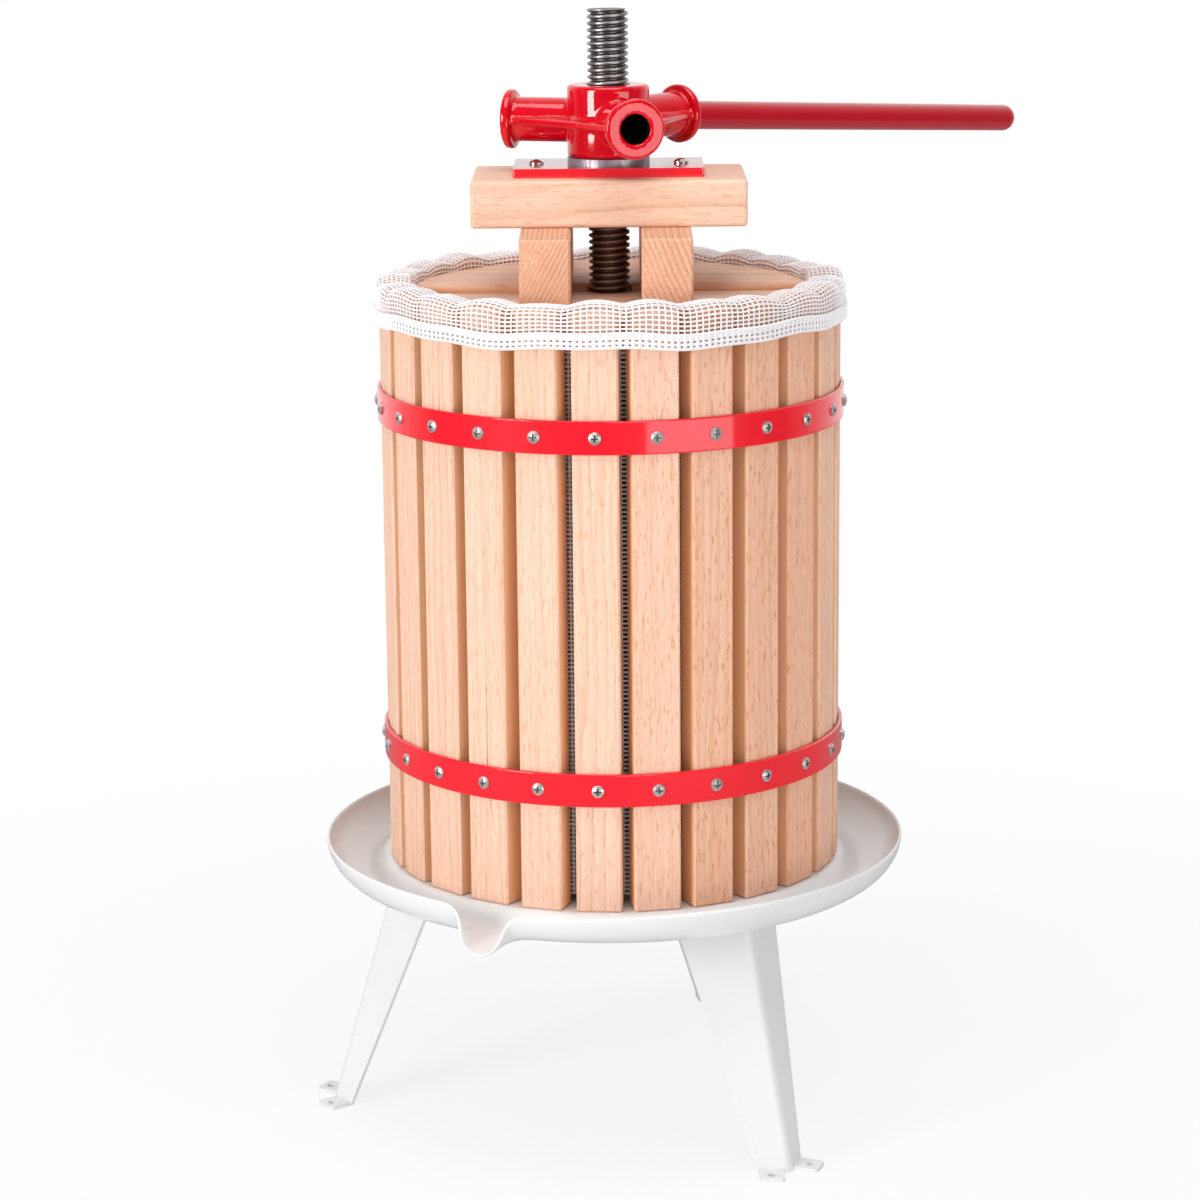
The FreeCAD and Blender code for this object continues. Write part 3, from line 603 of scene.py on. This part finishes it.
def hoop_recess_shade(tree):
    """Where shade is painted in the cross recesses of the hoop screws, one on each slat's middle line
    on both hoops.
    """
    _, side, _, height = slat_place(tree)
    masks = []
    for hoop in ("hoop_lower", "hoop_upper"):
        low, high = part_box(hoop)
        masks.append(cross_mask(side, calc("SUBTRACT", height, (low.z + high.z) / 2)))
    return calc("MAXIMUM", *masks)


def plate_recess_shade(tree):
    """Where shade is painted in the cross recesses of the two screws in the thrust plate."""
    low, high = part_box("thrust_screws")
    head_r = 4.7 * MM
    middle = (high.x - low.x) / 2 - head_r
    east, north, _ = parts_of(here(tree))
    across = calc("SUBTRACT", calc("ABSOLUTE", east), middle)
    return cross_mask(across, north)


def metal(name, colour, rough, scratch_scale, stain, stretch=(1, 1, 1), recess=None):
    """Bare or plated steel with fine scratches and darker stains; a recess mask paints shade near
    black in the screws' recesses.
    """
    material, tree = new_material(name)
    place = here(tree)
    cloud = noise(place, 70, 4, 0.6)
    shade = blend(ramp(cloud, 0.35, 0.7, 0.0, stain), colour, [part * 0.35 for part in colour])
    if recess:
        # painted shade: the screws' cross recesses are painted near black
        shade = blend(calc("MULTIPLY", recess(tree), 0.8), shade, (0.03, 0.03, 0.03))
    lines = noise(place, scratch_scale, 3, 0.6, stretch)
    return surface(material, shade, ramp(lines, 0.3, 0.75, rough * 0.7, rough * 1.5),
                   lines, 0.04 * MM, 0.4, {"Metallic": 1.0})


def spindle_steel():
    """Rolled, oiled thread: roots painted dark as painted shade in the grooves, crests brighter and
    patchy with wear.
    """
    material, tree = new_material("black_steel")
    place = here(tree)
    east, north, _ = parts_of(place)
    crest = ramp(radius_at(east, north), SPINDLE_HIGH.x - 1.5 * MM, SPINDLE_HIGH.x)
    cloud = noise(place, 120, 4, 0.6)
    # painted shade: the thread's roots are darker than its crests
    worn = calc("MULTIPLY", crest, ramp(cloud, 0.3, 0.65, 0.4, 1.0))
    steel = colours().steel
    shade = blend(worn, [part * 0.30 for part in steel], steel)
    return surface(material, shade, ramp(cloud, 0.3, 0.7, 0.36, 0.50), cloud,
                   0.06 * MM, 0.4, {"Metallic": 1.0})


def net_yarn():
    """White yarn: twist and fuzz break up its shine."""
    material, tree = new_material("white_net")
    place = here(tree)
    twist = noise(place, 1800, 2, 0.6)
    soil = noise(place, 60, 3, 0.5)
    white = colours().net
    soiled = blend(ramp(soil, 0.35, 0.7, 0.0, 0.25), white, [part * 0.86 for part in white])
    return surface(material, soiled, ramp(twist, 0.3, 0.7, 0.55, 0.8), twist,
                   0.1 * MM, 0.6, {"Sheen Weight": 0.25})


# ---- pieces
class PRESS_OT_slats(bpy.types.Operator):
    """Plane the slats in beech, each to a width of its own"""

    bl_idname = "press.slats"
    bl_label = "Slats"

    def execute(self, context):
        size = sizes()
        wood = slat_beech()
        width_waves = 7
        end_bevel = 2.5 * MM
        for number, name in enumerate(SLATS):
            plank = merged_copy(name, name.replace("slat", "plank"))
            angle = FIRST_SLAT + number * SLAT_STEP
            beside = Vector((math.cos(angle), math.sin(angle), 0))
            half = max(vertex.co.dot(beside) for vertex in plank.data.vertices)
            width = size.plank_width - size.plank_spread * math.cos(
                width_waves * (number + 1) * SLAT_STEP)
            for vertex in plank.data.vertices:
                vertex.co -= beside * vertex.co.dot(beside) * (1 - width / 2 / half)
                if vertex.co.z > SLAT_TOP - end_bevel:
                    vertex.co.z -= size.plank_ease
            finished(plank, "basket", "beech_slats", wood, name)
        return {"FINISHED"}


class PRESS_OT_wood_stack(bpy.types.Operator):
    """Set the half plates at their heights, and give them, the bars and the beam their beech"""

    bl_idname = "press.wood_stack"
    bl_label = "Wood stack"

    def execute(self, context):
        dress(block_beech(
            "beech_beam", "X", pinkness=-0.22, ring_tilt=1.35, ring_pitch=5 * MM, ring_depth=0.40,
            shift=(0.3, 0.1, 0.7), wobble=3.0), "beam")
        dress(block_beech(
            "beech_bar_left", "Y", pinkness=0.80, ring_tilt=-0.50, ring_pitch=2.6 * MM,
            ring_depth=1.0, shift=(0.90, 0.52, 0.2), wobble=1.6, ray_depth=0.70),
            "press_bar_left")
        dress(block_beech(
            "beech_bar_right", "Y", pinkness=0.70, ring_tilt=0.40, ring_pitch=3.4 * MM,
            ring_depth=0.75, shift=(0.2, 0.52, 0.5), wobble=1.8, ray_depth=0.70),
            "press_bar_right")
        front_wood = block_beech(
            "beech_plate_front", "X", pinkness=0.0, ring_tilt=0.4, ring_pitch=9 * MM,
            ring_depth=0.45, shift=(0.5, 0.3, 0.9), sawn=0.9)
        rear_wood = block_beech(
            "beech_plate_rear", "X", pinkness=-0.1, ring_tilt=0.7, ring_pitch=10 * MM,
            ring_depth=0.42, shift=(0.7, 0.6, 0.1), sawn=0.9)
        step = sizes().plate_step
        sunk_share, raised_share = -0.4, 0.6
        for node, name, rise, wood in (
                ("half_plate_front", "front_half_board", sunk_share * step, front_wood),
                ("half_plate_rear", "rear_half_board", raised_share * step, rear_wood)):
            board = merged_copy(node, name)
            for vertex in board.data.vertices:
                vertex.co.z += rise
            smooth(board)
            finished(board, "press_stack", "beech_blocks", wood, node)
        return {"FINISHED"}


class PRESS_OT_hoops(bpy.types.Operator):
    """Enamel the hoops and plate their screws"""

    bl_idname = "press.hoops"
    bl_label = "Hoops"

    def execute(self, context):
        dress(enamel("red_enamel", colours().hoop_red, rough=0.32, mottle=0.15, coat=0.9,
                     level=0.2), "hoop_lower", "hoop_upper")
        dress(metal("zinc_screws", colours().nickel, rough=0.46, scratch_scale=900, stain=0.10,
                    recess=hoop_recess_shade), "hoop_screws_lower", "hoop_screws_upper")
        return {"FINISHED"}


class PRESS_OT_legs(bpy.types.Operator):
    """Enamel the legs and plate the fasteners under the pan"""

    bl_idname = "press.legs"
    bl_label = "Legs"

    def execute(self, context):
        zinc_grey = (0.55, 0.56, 0.58)
        dress(enamel("white_legs", colours().white, rough=0.40, mottle=0.05, coat=0.15,
                     peel_height=0.02 * MM), "leg_left", "leg_front_right", "leg_rear")
        dress(metal("zinc_fasteners", zinc_grey, rough=0.40, scratch_scale=700, stain=0.6),
              "leg_bolts", "leg_nuts", "spindle_nut", "spindle_washer", "spindle_collar")
        return {"FINISHED"}


def pan_line():
    """The pan's upper side from the hole out to the rim: seat, step, gutter and wall.

    Each point carries how far up the wall it lies, from 0 in the gutter to 1 at the rim.
    """
    gutter_depth, wall_run, step_run = 10.5 * MM, 23.8 * MM, 14.0 * MM
    step_rows, wall_rows = 7, 10
    sheet = sizes().pan_sheet
    rim_r = PAN_HIGH.x - sheet
    rim_z = PAN_HIGH.z - sheet / 2
    gutter_r = rim_r - wall_run
    gutter_z = SLAT_FOOT - gutter_depth
    seat_r = gutter_r - step_run
    line = [(r, SLAT_FOOT, 0.0) for r in (10 * MM, 50 * MM, 95 * MM, 125 * MM, seat_r - 3 * MM)]
    for row in range(step_rows + 1):
        part = row / step_rows
        line.append((seat_r + (gutter_r - seat_r) * part,
                     SLAT_FOOT - gutter_depth * (0.5 - 0.5 * math.cos(math.pi * part)), 0.0))
    for row in range(1, wall_rows + 1):
        rise = row / wall_rows
        a = math.pi / 2 * rise
        line.append((gutter_r + (rim_r - gutter_r) * math.sin(a),
                     rim_z - (rim_z - gutter_z) * math.cos(a), rise))
    return line, gutter_r, gutter_z, rim_r, rim_z


def lip_outline(depth):
    """The lip's edge seen from its mouth, from the middle out: width and height above its floor.

    A round bottom, a flank that leans outwards and a bend that runs out level at the rim.
    """
    bottom, shoulder, lean = 12.0 * MM, 12.0 * MM, math.radians(15)
    bottom_turn = math.radians(73)
    shoulder_turn = math.pi / 2 - lean
    bottom_rows, shoulder_rows = 8, 6
    points = [(bottom * math.sin(a), bottom * (1 - math.cos(a)))
              for a in (bottom_turn * i / bottom_rows for i in range(bottom_rows + 1))]
    start = points[-1]
    flank = depth - start[1] - shoulder * (1 - math.cos(shoulder_turn))
    top = (start[0] + flank * math.tan(lean), start[1] + flank)
    points.append(top)
    for i in range(1, shoulder_rows + 1):
        a = shoulder_turn * (1 - i / shoulder_rows)
        points.append((top[0] + shoulder * (math.sin(shoulder_turn) - math.sin(a)),
                       depth - shoulder * (1 - math.cos(a))))
    return points


class PRESS_OT_juice_pan(bpy.types.Operator):
    """Press the juice pan with its pouring lip, and enamel it"""

    bl_idname = "press.juice_pan"
    bl_label = "Juice pan"

    def execute(self, context):
        size = sizes()
        line, gutter_r, gutter_z, rim_r, rim_z = pan_line()
        pan = draw_line("enamelled_pan", [(r, z) for r, z, rise in line])
        turn_solid(pan, 360)
        end_r = PAN_HIGH.x + size.lip_reach
        depth = rim_z - gutter_z + size.lip_drop
        zone = math.radians(13)
        edge_parts = 400
        dip_middle, dip_width = math.radians(-13.5), math.radians(17)
        edge = lip_outline(depth) + [(rim_r * math.sin(zone), depth)]
        edge = resample(edge, math.dist((0, 0), edge[-1]) / edge_parts)
        for vertex in pan.data.vertices:
            x, y, z = vertex.co
            radius = math.hypot(x, y)
            angle = math.atan2(x, -y)
            rise = min(line, key=lambda point: math.dist(point[:2], (radius, z)))[2]
            turn = angle - size.lip_turn
            if abs(turn) < zone and rise > 0:
                spot = abs(turn) / zone * (len(edge) - 1)
                side, height = edge[min(int(round(spot)), len(edge) - 1)]
                pull = 1 - height / depth
                ease = rise * rise * (3 - 2 * rise)
                wide = math.copysign(side, turn) * ease + radius * math.sin(turn) * (1 - ease)
                radius += (gutter_r + (end_r - gutter_r) * rise - radius) * pull
                z += (gutter_z - size.lip_drop * rise - z) * pull
                angle = size.lip_turn + math.asin(wide / radius)
            dip = (angle - dip_middle) / dip_width
            z -= size.rim_dip * math.exp(-dip * dip) * rise ** 2 * (0.5 + 0.5 * min(
                1.0, max(0.0, (z - gutter_z) / (rim_z - gutter_z))))
            vertex.co = (radius * math.sin(angle), -radius * math.cos(angle), z)
        outwards(pan)
        if sum(face.normal.z * face.area for face in pan.data.polygons) < 0:
            pan.data.flip_normals()
        bake_modifier(pan, "SOLIDIFY", thickness=size.pan_sheet, offset=-1, use_rim=True,
                      use_even_offset=True)
        bake_modifier(pan, "SUBSURF", levels=1, render_levels=1)
        pick(pan)
        bpy.ops.object.shade_smooth()
        finished(pan, "frame", "white_enamel",
                 enamel("white_enamel", colours().white, rough=0.32, mottle=0.03, coat=0.3,
                        peel_height=0.008 * MM), "juice_pan")
        return {"FINISHED"}


def threaded_rod(name, crest, depth, pitch, foot, top):
    """A right-hand thread between two heights, screwed from one pitch of its outline.

    The outline is given as depth below the crest and share of the pitch. It starts a little
    more than a pitch below the foot, so that no row of points lies on the plane of a cut.
    """
    below = 1.002
    worn = 0.14 * depth
    outline = [(depth, 0.0), (depth, 0.16), (worn, 0.38), (0.0, 0.46), (0.0, 0.68),
               (worn, 0.76), (depth, 0.98), (depth, 1.0)]
    rounds = math.ceil((top - foot) / pitch) + 2
    rod = turn_solid(draw_line(name, [(crest - inset, foot + (part - below) * pitch)
                                      for inset, part in outline]), 36, pitch, rounds)
    for height, normal in ((top, (0, 0, 1)), (foot, (0, 0, -1))):
        edit_all(rod, bpy.ops.mesh.bisect, plane_co=(0, 0, height), plane_no=normal,
                 use_fill=True, clear_outer=True, threshold=0.001 * MM)
    return outwards(rod)


class PRESS_OT_spindle(bpy.types.Operator):
    """Roll the spindle's thread, and the thinner tail under the pan"""

    bl_idname = "press.spindle"
    bl_label = "Spindle"

    def execute(self, context):
        size = sizes()
        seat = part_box("spindle_collar")[0].z
        rod = threaded_rod("spindle_rod", SPINDLE_HIGH.x, size.thread_depth, size.thread_pitch,
                           foot=seat, top=SPINDLE_HIGH.z)
        tail = threaded_rod("spindle_tail", crest=10 * MM, depth=1.2 * MM, pitch=2.5 * MM,
                            foot=SPINDLE_LOW.z, top=seat)
        thread = join("spindle_thread", [rod, tail])
        smooth(thread, 40)
        finished(thread, "frame", "black_steel", spindle_steel(), "spindle")
        return {"FINISHED"}


def socket_web(middle, first, second):
    """The level web between two sockets, hollow-sided, from one flange to the next."""
    size = sizes()
    beside_first = (second - first * first.dot(second)).normalized()
    beside_second = (first - second * first.dot(second)).normalized()
    start = first * size.web_reach + beside_first * size.web_root
    end = second * size.web_reach + beside_second * size.web_root
    bpy.ops.mesh.primitive_circle_add(vertices=14, fill_type="NGON")
    web = bpy.context.object
    web.name = "socket_web"
    corner, *edge = web.data.vertices
    corner.co = middle
    for i, vertex in enumerate(edge):
        part = i / (len(edge) - 1)
        hollow = 4 * part * (1 - part) * size.web_hollow
        vertex.co = middle + start.lerp(end, part) * (1 - hollow)
    bake_modifier(web, "SOLIDIFY", thickness=size.web_sheet, offset=0)
    return outwards(web)


def from_socket(spot, way):
    """How far a spot lies along a socket, and its offset from the socket's middle line."""
    along = spot.dot(way)
    return along, spot - along * way


class PRESS_OT_hub(bpy.types.Operator):
    """Cast the hub with rounded edges and paint it; its bores are bare metal, painted near black as
    shade.
    """

    bl_idname = "press.hub"
    bl_label = "Hub"

    def execute(self, context):
        hub = merged_copy("hub", "hub_casting")
        size = sizes()
        below_middle = 0.25 * MM
        bore_start, bore_end, bore_wall_r, draw_in = 18 * MM, 66 * MM, 12 * MM, 0.62
        dark_bore_end, dark_bore_r, spindle_bore_r = 62.5 * MM, 10.2 * MM, 13.4 * MM
        middle = Vector((0, 0, (HUB_LOW.z + HUB_HIGH.z) / 2 - below_middle))
        ways = [Matrix.Rotation(size.socket_turn + turn, 3, "Z") @ Vector((0, -1, 0))
                for turn in (0, 2 * math.pi / 3, 4 * math.pi / 3)]
        webs = [socket_web(middle, ways[i], ways[i - 1]) for i in range(3)]
        hub = join("hub_casting", [hub] + webs)
        bake_modifier(hub, "REMESH", mode="VOXEL", voxel_size=size.casting_grain)
        bake_modifier(hub, "SMOOTH", factor=0.5, iterations=5)
        pick(hub)
        bpy.ops.object.shade_smooth()
        finished(hub, "hub", "red_casting",
                 casting_paint("red_casting", colours().casting_red), "hub")
        # painted shade: the bores are bare metal, painted near black for the shade deep inside them
        hub.data.materials.append(metal(
            "bare_bore_and_shade", (0.05, 0.04, 0.04), rough=0.5, scratch_scale=500, stain=0.5))
        for vertex in hub.data.vertices:
            for way in ways:
                along, off = from_socket(vertex.co - middle, way)
                if bore_start < along < bore_end and off.length < bore_wall_r:
                    vertex.co -= off * (draw_in * (bore_wall_r / off.length - 1))
        for face in hub.data.polygons:
            inside = face.center.xy.length < spindle_bore_r
            for way in ways:
                along, off = from_socket(face.center - middle, way)
                if bore_start < along < dark_bore_end and off.length < dark_bore_r:
                    inside = inside or face.normal.dot(off) <= 0
            face.material_index = 1 if inside else 0
        return {"FINISHED"}


class PRESS_OT_thrust_plate(bpy.types.Operator):
    """Finish the thrust plate, its screws and the washer under the hub"""

    bl_idname = "press.thrust_plate"
    bl_label = "Thrust plate"

    def execute(self, context):
        washer_grey = (0.55, 0.50, 0.55)
        # painted shade: top=0.45 darkens the plate's upper face
        dress(enamel("red_plate", colours().hoop_red, rough=0.34, mottle=0.15, coat=1.0, level=0.3,
                     haze=0.10, coat_ior=1.9, top=0.45), "thrust_plate")
        dress(metal("nickel_screws", colours().nickel, rough=0.20, scratch_scale=900, stain=0.3,
                    recess=plate_recess_shade), "thrust_screws")
        dress(metal("washer_steel", washer_grey, rough=0.50, scratch_scale=600, stain=0.2,
                    stretch=(1, 1, 0.2)), "thrust_washer")
        return {"FINISHED"}


class PRESS_OT_lever_bar(bpy.types.Operator):
    """Paint the lever bar"""

    bl_idname = "press.lever_bar"
    bl_label = "Lever bar"

    def execute(self, context):
        dress(enamel("red_lever", colours().lever_red, rough=0.34, mottle=0.25, coat=1.0,
                     peel_height=0.004 * MM, level=0.15, haze=0.07), "lever_bar")
        return {"FINISHED"}


# ---- net bag
def resample(points, pitch):
    """Points at equal steps of about pitch along a polyline."""
    tiny = 1e-12
    lengths = [0.0]
    for a, b in zip(points, points[1:]):
        lengths.append(lengths[-1] + math.dist(a, b))
    count = max(2, round(lengths[-1] / pitch))
    out = []
    for i in range(count + 1):
        want = lengths[-1] * i / count
        k = next((k for k in range(1, len(points)) if lengths[k] >= want - tiny), len(points) - 1)
        part = (want - lengths[k - 1]) / max(lengths[k] - lengths[k - 1], tiny)
        a, b = points[k - 1], points[k]
        out.append(tuple(a[j] + (b[j] - a[j]) * part for j in range(2)))
    return out


def rounded(points, rounds):
    """Cut a polyline's corners until it is a smooth curve."""
    for _ in range(rounds):
        cut = [points[0]]
        for a, b in zip(points, points[1:]):
            cut.append(tuple(0.75 * a[j] + 0.25 * b[j] for j in range(2)))
            cut.append(tuple(0.25 * a[j] + 0.75 * b[j] for j in range(2)))
        points = cut + [points[-1]]
    return points


def rim_wave(angle):
    """How the slats' tops and the drawn cord pull the fold up and down round the rim."""
    scallop = abs(math.cos(len(SLATS) / 2 * (angle - FIRST_SLAT))) - 0.64
    return (1.8 * scallop + 0.50 * math.sin(11 * angle + 1.3)
            + 0.40 * math.sin(17 * angle + 4.1) + 0.35 * math.sin(5 * angle + 0.4))


def drape_net(obj):
    """Drape the net's turned surface: the fold swells and sinks beside the front, the hem wanders."""
    wave = sizes().net_wave
    crest_span, fold_depth, bend = 14 * MM, 6 * MM, 5 * MM
    sink, front = 1.7 * MM, math.radians(30)
    hem_wander, swell = 1.0 * MM, 0.8 * MM
    for vertex in obj.data.vertices:
        x, y, z = vertex.co
        radius = math.hypot(x, y)
        angle = math.atan2(x, -y)
        crest = min(1.0, max(0.0, (z - (SLAT_TOP - crest_span)) / crest_span))
        outside = min(1.0, max(0.0, (radius - (NET_OUTER_R - fold_depth)) / bend))
        pull = rim_wave(angle)
        lift = crest * (wave * pull - sink * min(1.0, abs(angle) / front))
        wander = (1 - crest) * outside * hem_wander * (
            math.sin(7 * angle + 2.0) + 0.5 * math.sin(16 * angle))
        puff = outside * crest * swell * (1 + 0.6 * pull)
        scale = (radius + puff) / radius
        vertex.co = (x * scale, y * scale, z + lift + wander)


def strands(name, line, steps, rings, drape, thread):
    """Turn a line round the basket, drape it, and keep its rings or uprights as threads."""
    obj = turn_solid(draw_line(name, line), steps)
    drape(obj)
    mesh = obj.data
    bpy.context.tool_settings.mesh_select_mode = (False, True, False)
    for part in list(mesh.polygons) + list(mesh.vertices):
        part.select = False
    for edge in mesh.edges:
        a, b = (mesh.vertices[i].co.xy for i in edge.vertices)
        is_ring = abs(a.cross(b)) > 0.001 * a.length * b.length
        edge.select = is_ring != rings
    pick(obj)
    bpy.ops.object.mode_set(mode="EDIT")
    bpy.ops.mesh.delete(type="EDGE_FACE")
    bpy.ops.object.mode_set(mode="OBJECT")
    bpy.ops.object.convert(target="CURVE")
    curve = bpy.context.object
    curve.data.dimensions = "3D"
    curve.data.fill_mode = "FULL"
    curve.data.bevel_depth = thread
    curve.data.bevel_resolution = 0
    curve.data.use_fill_caps = True
    bpy.ops.object.convert(target="MESH")
    return bpy.context.object


def weave(name, ring_line, ring_steps, upright_line, uprights, drape, thread, upright_thread):
    """One net of closed threads."""
    return outwards(join(name, [
        strands(name + "_rings", ring_line, ring_steps, True, drape, thread),
        strands(name + "_uprights", upright_line, uprights, False, drape, upright_thread)]))


class PRESS_OT_net_bag(bpy.types.Operator):
    """Weave the net bag: its lining, the fold over the rim and the hem"""

    bl_idname = "press.net_bag"
    bl_label = "Net bag"

    def execute(self, context):
        size = sizes()
        inner = 122.0 * MM
        outer = NET_OUTER_R
        hem_r = outer + 0.6 * MM
        top = NET_HIGH.z - 3.0 * MM
        hem_foot = NET_HIGH.z - 28.5 * MM
        start = SLAT_TOP - 8 * MM
        around = round(2 * math.pi * outer / size.net_cell_width)
        # up the lining, over the slats' tops and down outside them to the hem
        fold = resample(rounded([
            (inner, start), (inner, SLAT_TOP + 0.6 * MM), (inner + 3 * MM, top - 0.9 * MM),
            (outer - 7.5 * MM, top + 0.4 * MM), (outer, SLAT_TOP - 1 * MM), (outer, hem_foot)], 3),
            size.net_cell_height)
        hem_rows = round(size.hem_height / size.net_cell_height)
        hem_line = [(hem_r, height) for _, height in fold[-hem_rows - 1:]]
        hem_line.insert(1, (hem_r, (hem_line[0][1] + hem_line[1][1]) / 2))
        hole_r = 33 * MM
        corner = (inner, NET_LOW.z + 1 * MM)
        floor = resample([(hole_r, NET_LOW.z + 0.8 * MM), corner], 4 * size.net_cell_height)[:-1]
        wall = [corner, (inner, start)]
        lining_steps = 64

        rim = weave("net_fold", fold, around, fold, around, drape_net, size.net_thread,
                    size.net_thread)
        hem = weave("net_hem", hem_line, around, hem_line, around, drape_net, size.hem_thread,
                    size.hem_upright)
        lining = weave(
            "net_lining", floor + resample(wall, size.net_cell_height), lining_steps,
            floor + resample(wall, 60 * MM), round(around * inner / outer), lambda obj: None,
            size.net_thread, size.net_thread)
        yarn = net_yarn()
        for piece in (rim, hem, lining):
            finished(piece, "basket", "white_net", yarn, "net_bag")
        return {"FINISHED"}


# ---- stage
def soft_lamp(name, power, width, height, place):
    """A rectangular lamp that points at the middle of the press."""
    middle = Vector((0, 0, 0.35))
    bpy.ops.object.light_add(type="AREA")
    lamp = bpy.context.object
    lamp.name = name
    lamp.data.shape = "RECTANGLE"
    lamp.data.size = width
    lamp.data.size_y = height
    lamp.data.energy = power
    lamp.location = place
    lamp.rotation_euler = (middle - Vector(place)).to_track_quat("-Z", "Y").to_euler()


def light_path(tree):
    """The kinds of ray, and 1 for those that see the room in a gloss or through a glass."""
    rays = add(tree, "LightPath").outputs
    return rays, calc("MAXIMUM", rays["Is Glossy Ray"], rays["Is Transmission Ray"])


class PRESS_OT_stage(bpy.types.Operator):
    """Lay the floor, hang the lamps and set up the camera"""

    bl_idname = "press.stage"
    bl_label = "Stage"

    def execute(self, context):
        scene = context.scene
        stage = scene.press_stage
        scene.view_settings.view_transform = "Standard"

        world = bpy.data.worlds.new("studio")
        world.use_nodes = True
        tree = world.node_tree
        rays, seen = light_path(tree)
        way = parts_of(add(tree, "TexCoord").outputs["Generated"])[1]
        room = ramp(way, 0.05, 0.75, stage.sky_front, 1.0)
        level = calc("MULTIPLY_ADD", seen, calc("SUBTRACT", room, stage.sky), stage.sky)
        background = tree.nodes["Background"].inputs
        background["Color"].default_value = (1, 1, 1, 1)
        tree.links.new(calc("MAXIMUM", level, rays["Is Camera Ray"]), background["Strength"])
        scene.world = world

        bpy.ops.mesh.primitive_circle_add(vertices=96, radius=1.5, fill_type="NGON")
        floor = context.object
        floor.name = "studio_floor"
        material, tree = new_material("floor_paper")
        shader = tree.nodes["Principled BSDF"]
        shader.inputs["Base Color"].default_value = (0.86, 0.86, 0.86, 1)
        shader.inputs["Roughness"].default_value = 0.9
        shader.inputs["Specular IOR Level"].default_value = 0.1
        rays, seen = light_path(tree)
        glossy = rays["Is Glossy Ray"]
        glow = add(tree, "Emission", {
            "Color": (1, 1, 1, 1),
            "Strength": calc("MULTIPLY_ADD", glossy, stage.floor_gloss - 1, 1.0)})
        far = add(tree, "VectorMath", {0: here(tree)}, operation="LENGTH").outputs[1]
        share = calc("MAXIMUM", ramp(far, 0.25, 0.85, 0.80, 1.0), glossy)
        white = calc("MAXIMUM", seen, rays["Is Camera Ray"])
        mix = add(tree, "MixShader", {
            0: calc("MULTIPLY", white, share), 1: shader.outputs[0], 2: glow.outputs[0]})
        tree.links.new(mix.outputs[0], tree.nodes["Material Output"].inputs["Surface"])
        floor.data.materials.append(material)

        soft_lamp("key_lamp", stage.key_power, width=0.75, height=0.9, place=(-1.76, -1.48, 0.82))
        soft_lamp("fill_lamp", stage.fill_power, width=1.90, height=1.0, place=(1.48, -1.89, 0.25))
        soft_lamp("top_lamp", stage.top_power, width=1.4, height=1.4, place=(0, -0.5, 2.2))

        bpy.ops.object.camera_add(location=(0, -stage.camera_distance, stage.camera_height))
        camera = context.object
        camera.rotation_euler = (
            Matrix.Rotation(stage.camera_turn, 3, "Z")
            @ Matrix.Rotation(math.pi / 2 - stage.camera_tilt, 3, "X")
            @ Matrix.Rotation(stage.camera_roll, 3, "Z")).to_euler()
        camera.data.sensor_width = 36
        camera.data.lens = stage.lens
        scene.camera = camera
        return {"FINISHED"}


OPERATORS = (
    PRESS_OT_stage, PRESS_OT_slats, PRESS_OT_wood_stack, PRESS_OT_hoops, PRESS_OT_legs,
    PRESS_OT_juice_pan, PRESS_OT_spindle, PRESS_OT_hub, PRESS_OT_thrust_plate,
    PRESS_OT_lever_bar, PRESS_OT_net_bag,
)


class VIEW3D_PT_press(bpy.types.Panel):
    """Lists the press's pieces"""

    bl_label = "Wine press"
    bl_idname = "VIEW3D_PT_press"
    bl_space_type = "VIEW_3D"
    bl_region_type = "UI"
    bl_category = "Wine press"

    def draw(self, context):
        for operator in OPERATORS:
            self.layout.operator(operator.bl_idname)
        for group in ("press_sizes", "press_colours", "press_stage"):
            settings = getattr(context.scene, group)
            for name in settings.__annotations__:
                self.layout.prop(settings, name)


CLASSES = (PressSizes, PressColours, PressStage) + OPERATORS + (VIEW3D_PT_press,)


def register():
    for one in CLASSES:
        bpy.utils.register_class(one)
    bpy.types.Scene.press_sizes = PointerProperty(type=PressSizes)
    bpy.types.Scene.press_colours = PointerProperty(type=PressColours)
    bpy.types.Scene.press_stage = PointerProperty(type=PressStage)


def unregister():
    for group in ("press_stage", "press_colours", "press_sizes"):
        delattr(bpy.types.Scene, group)
    for one in reversed(CLASSES):
        bpy.utils.unregister_class(one)


def main():
    register()
    for operator in OPERATORS:
        group, name = operator.bl_idname.split(".")
        getattr(getattr(bpy.ops, group), name)()


if __name__ == "__main__":
    main()
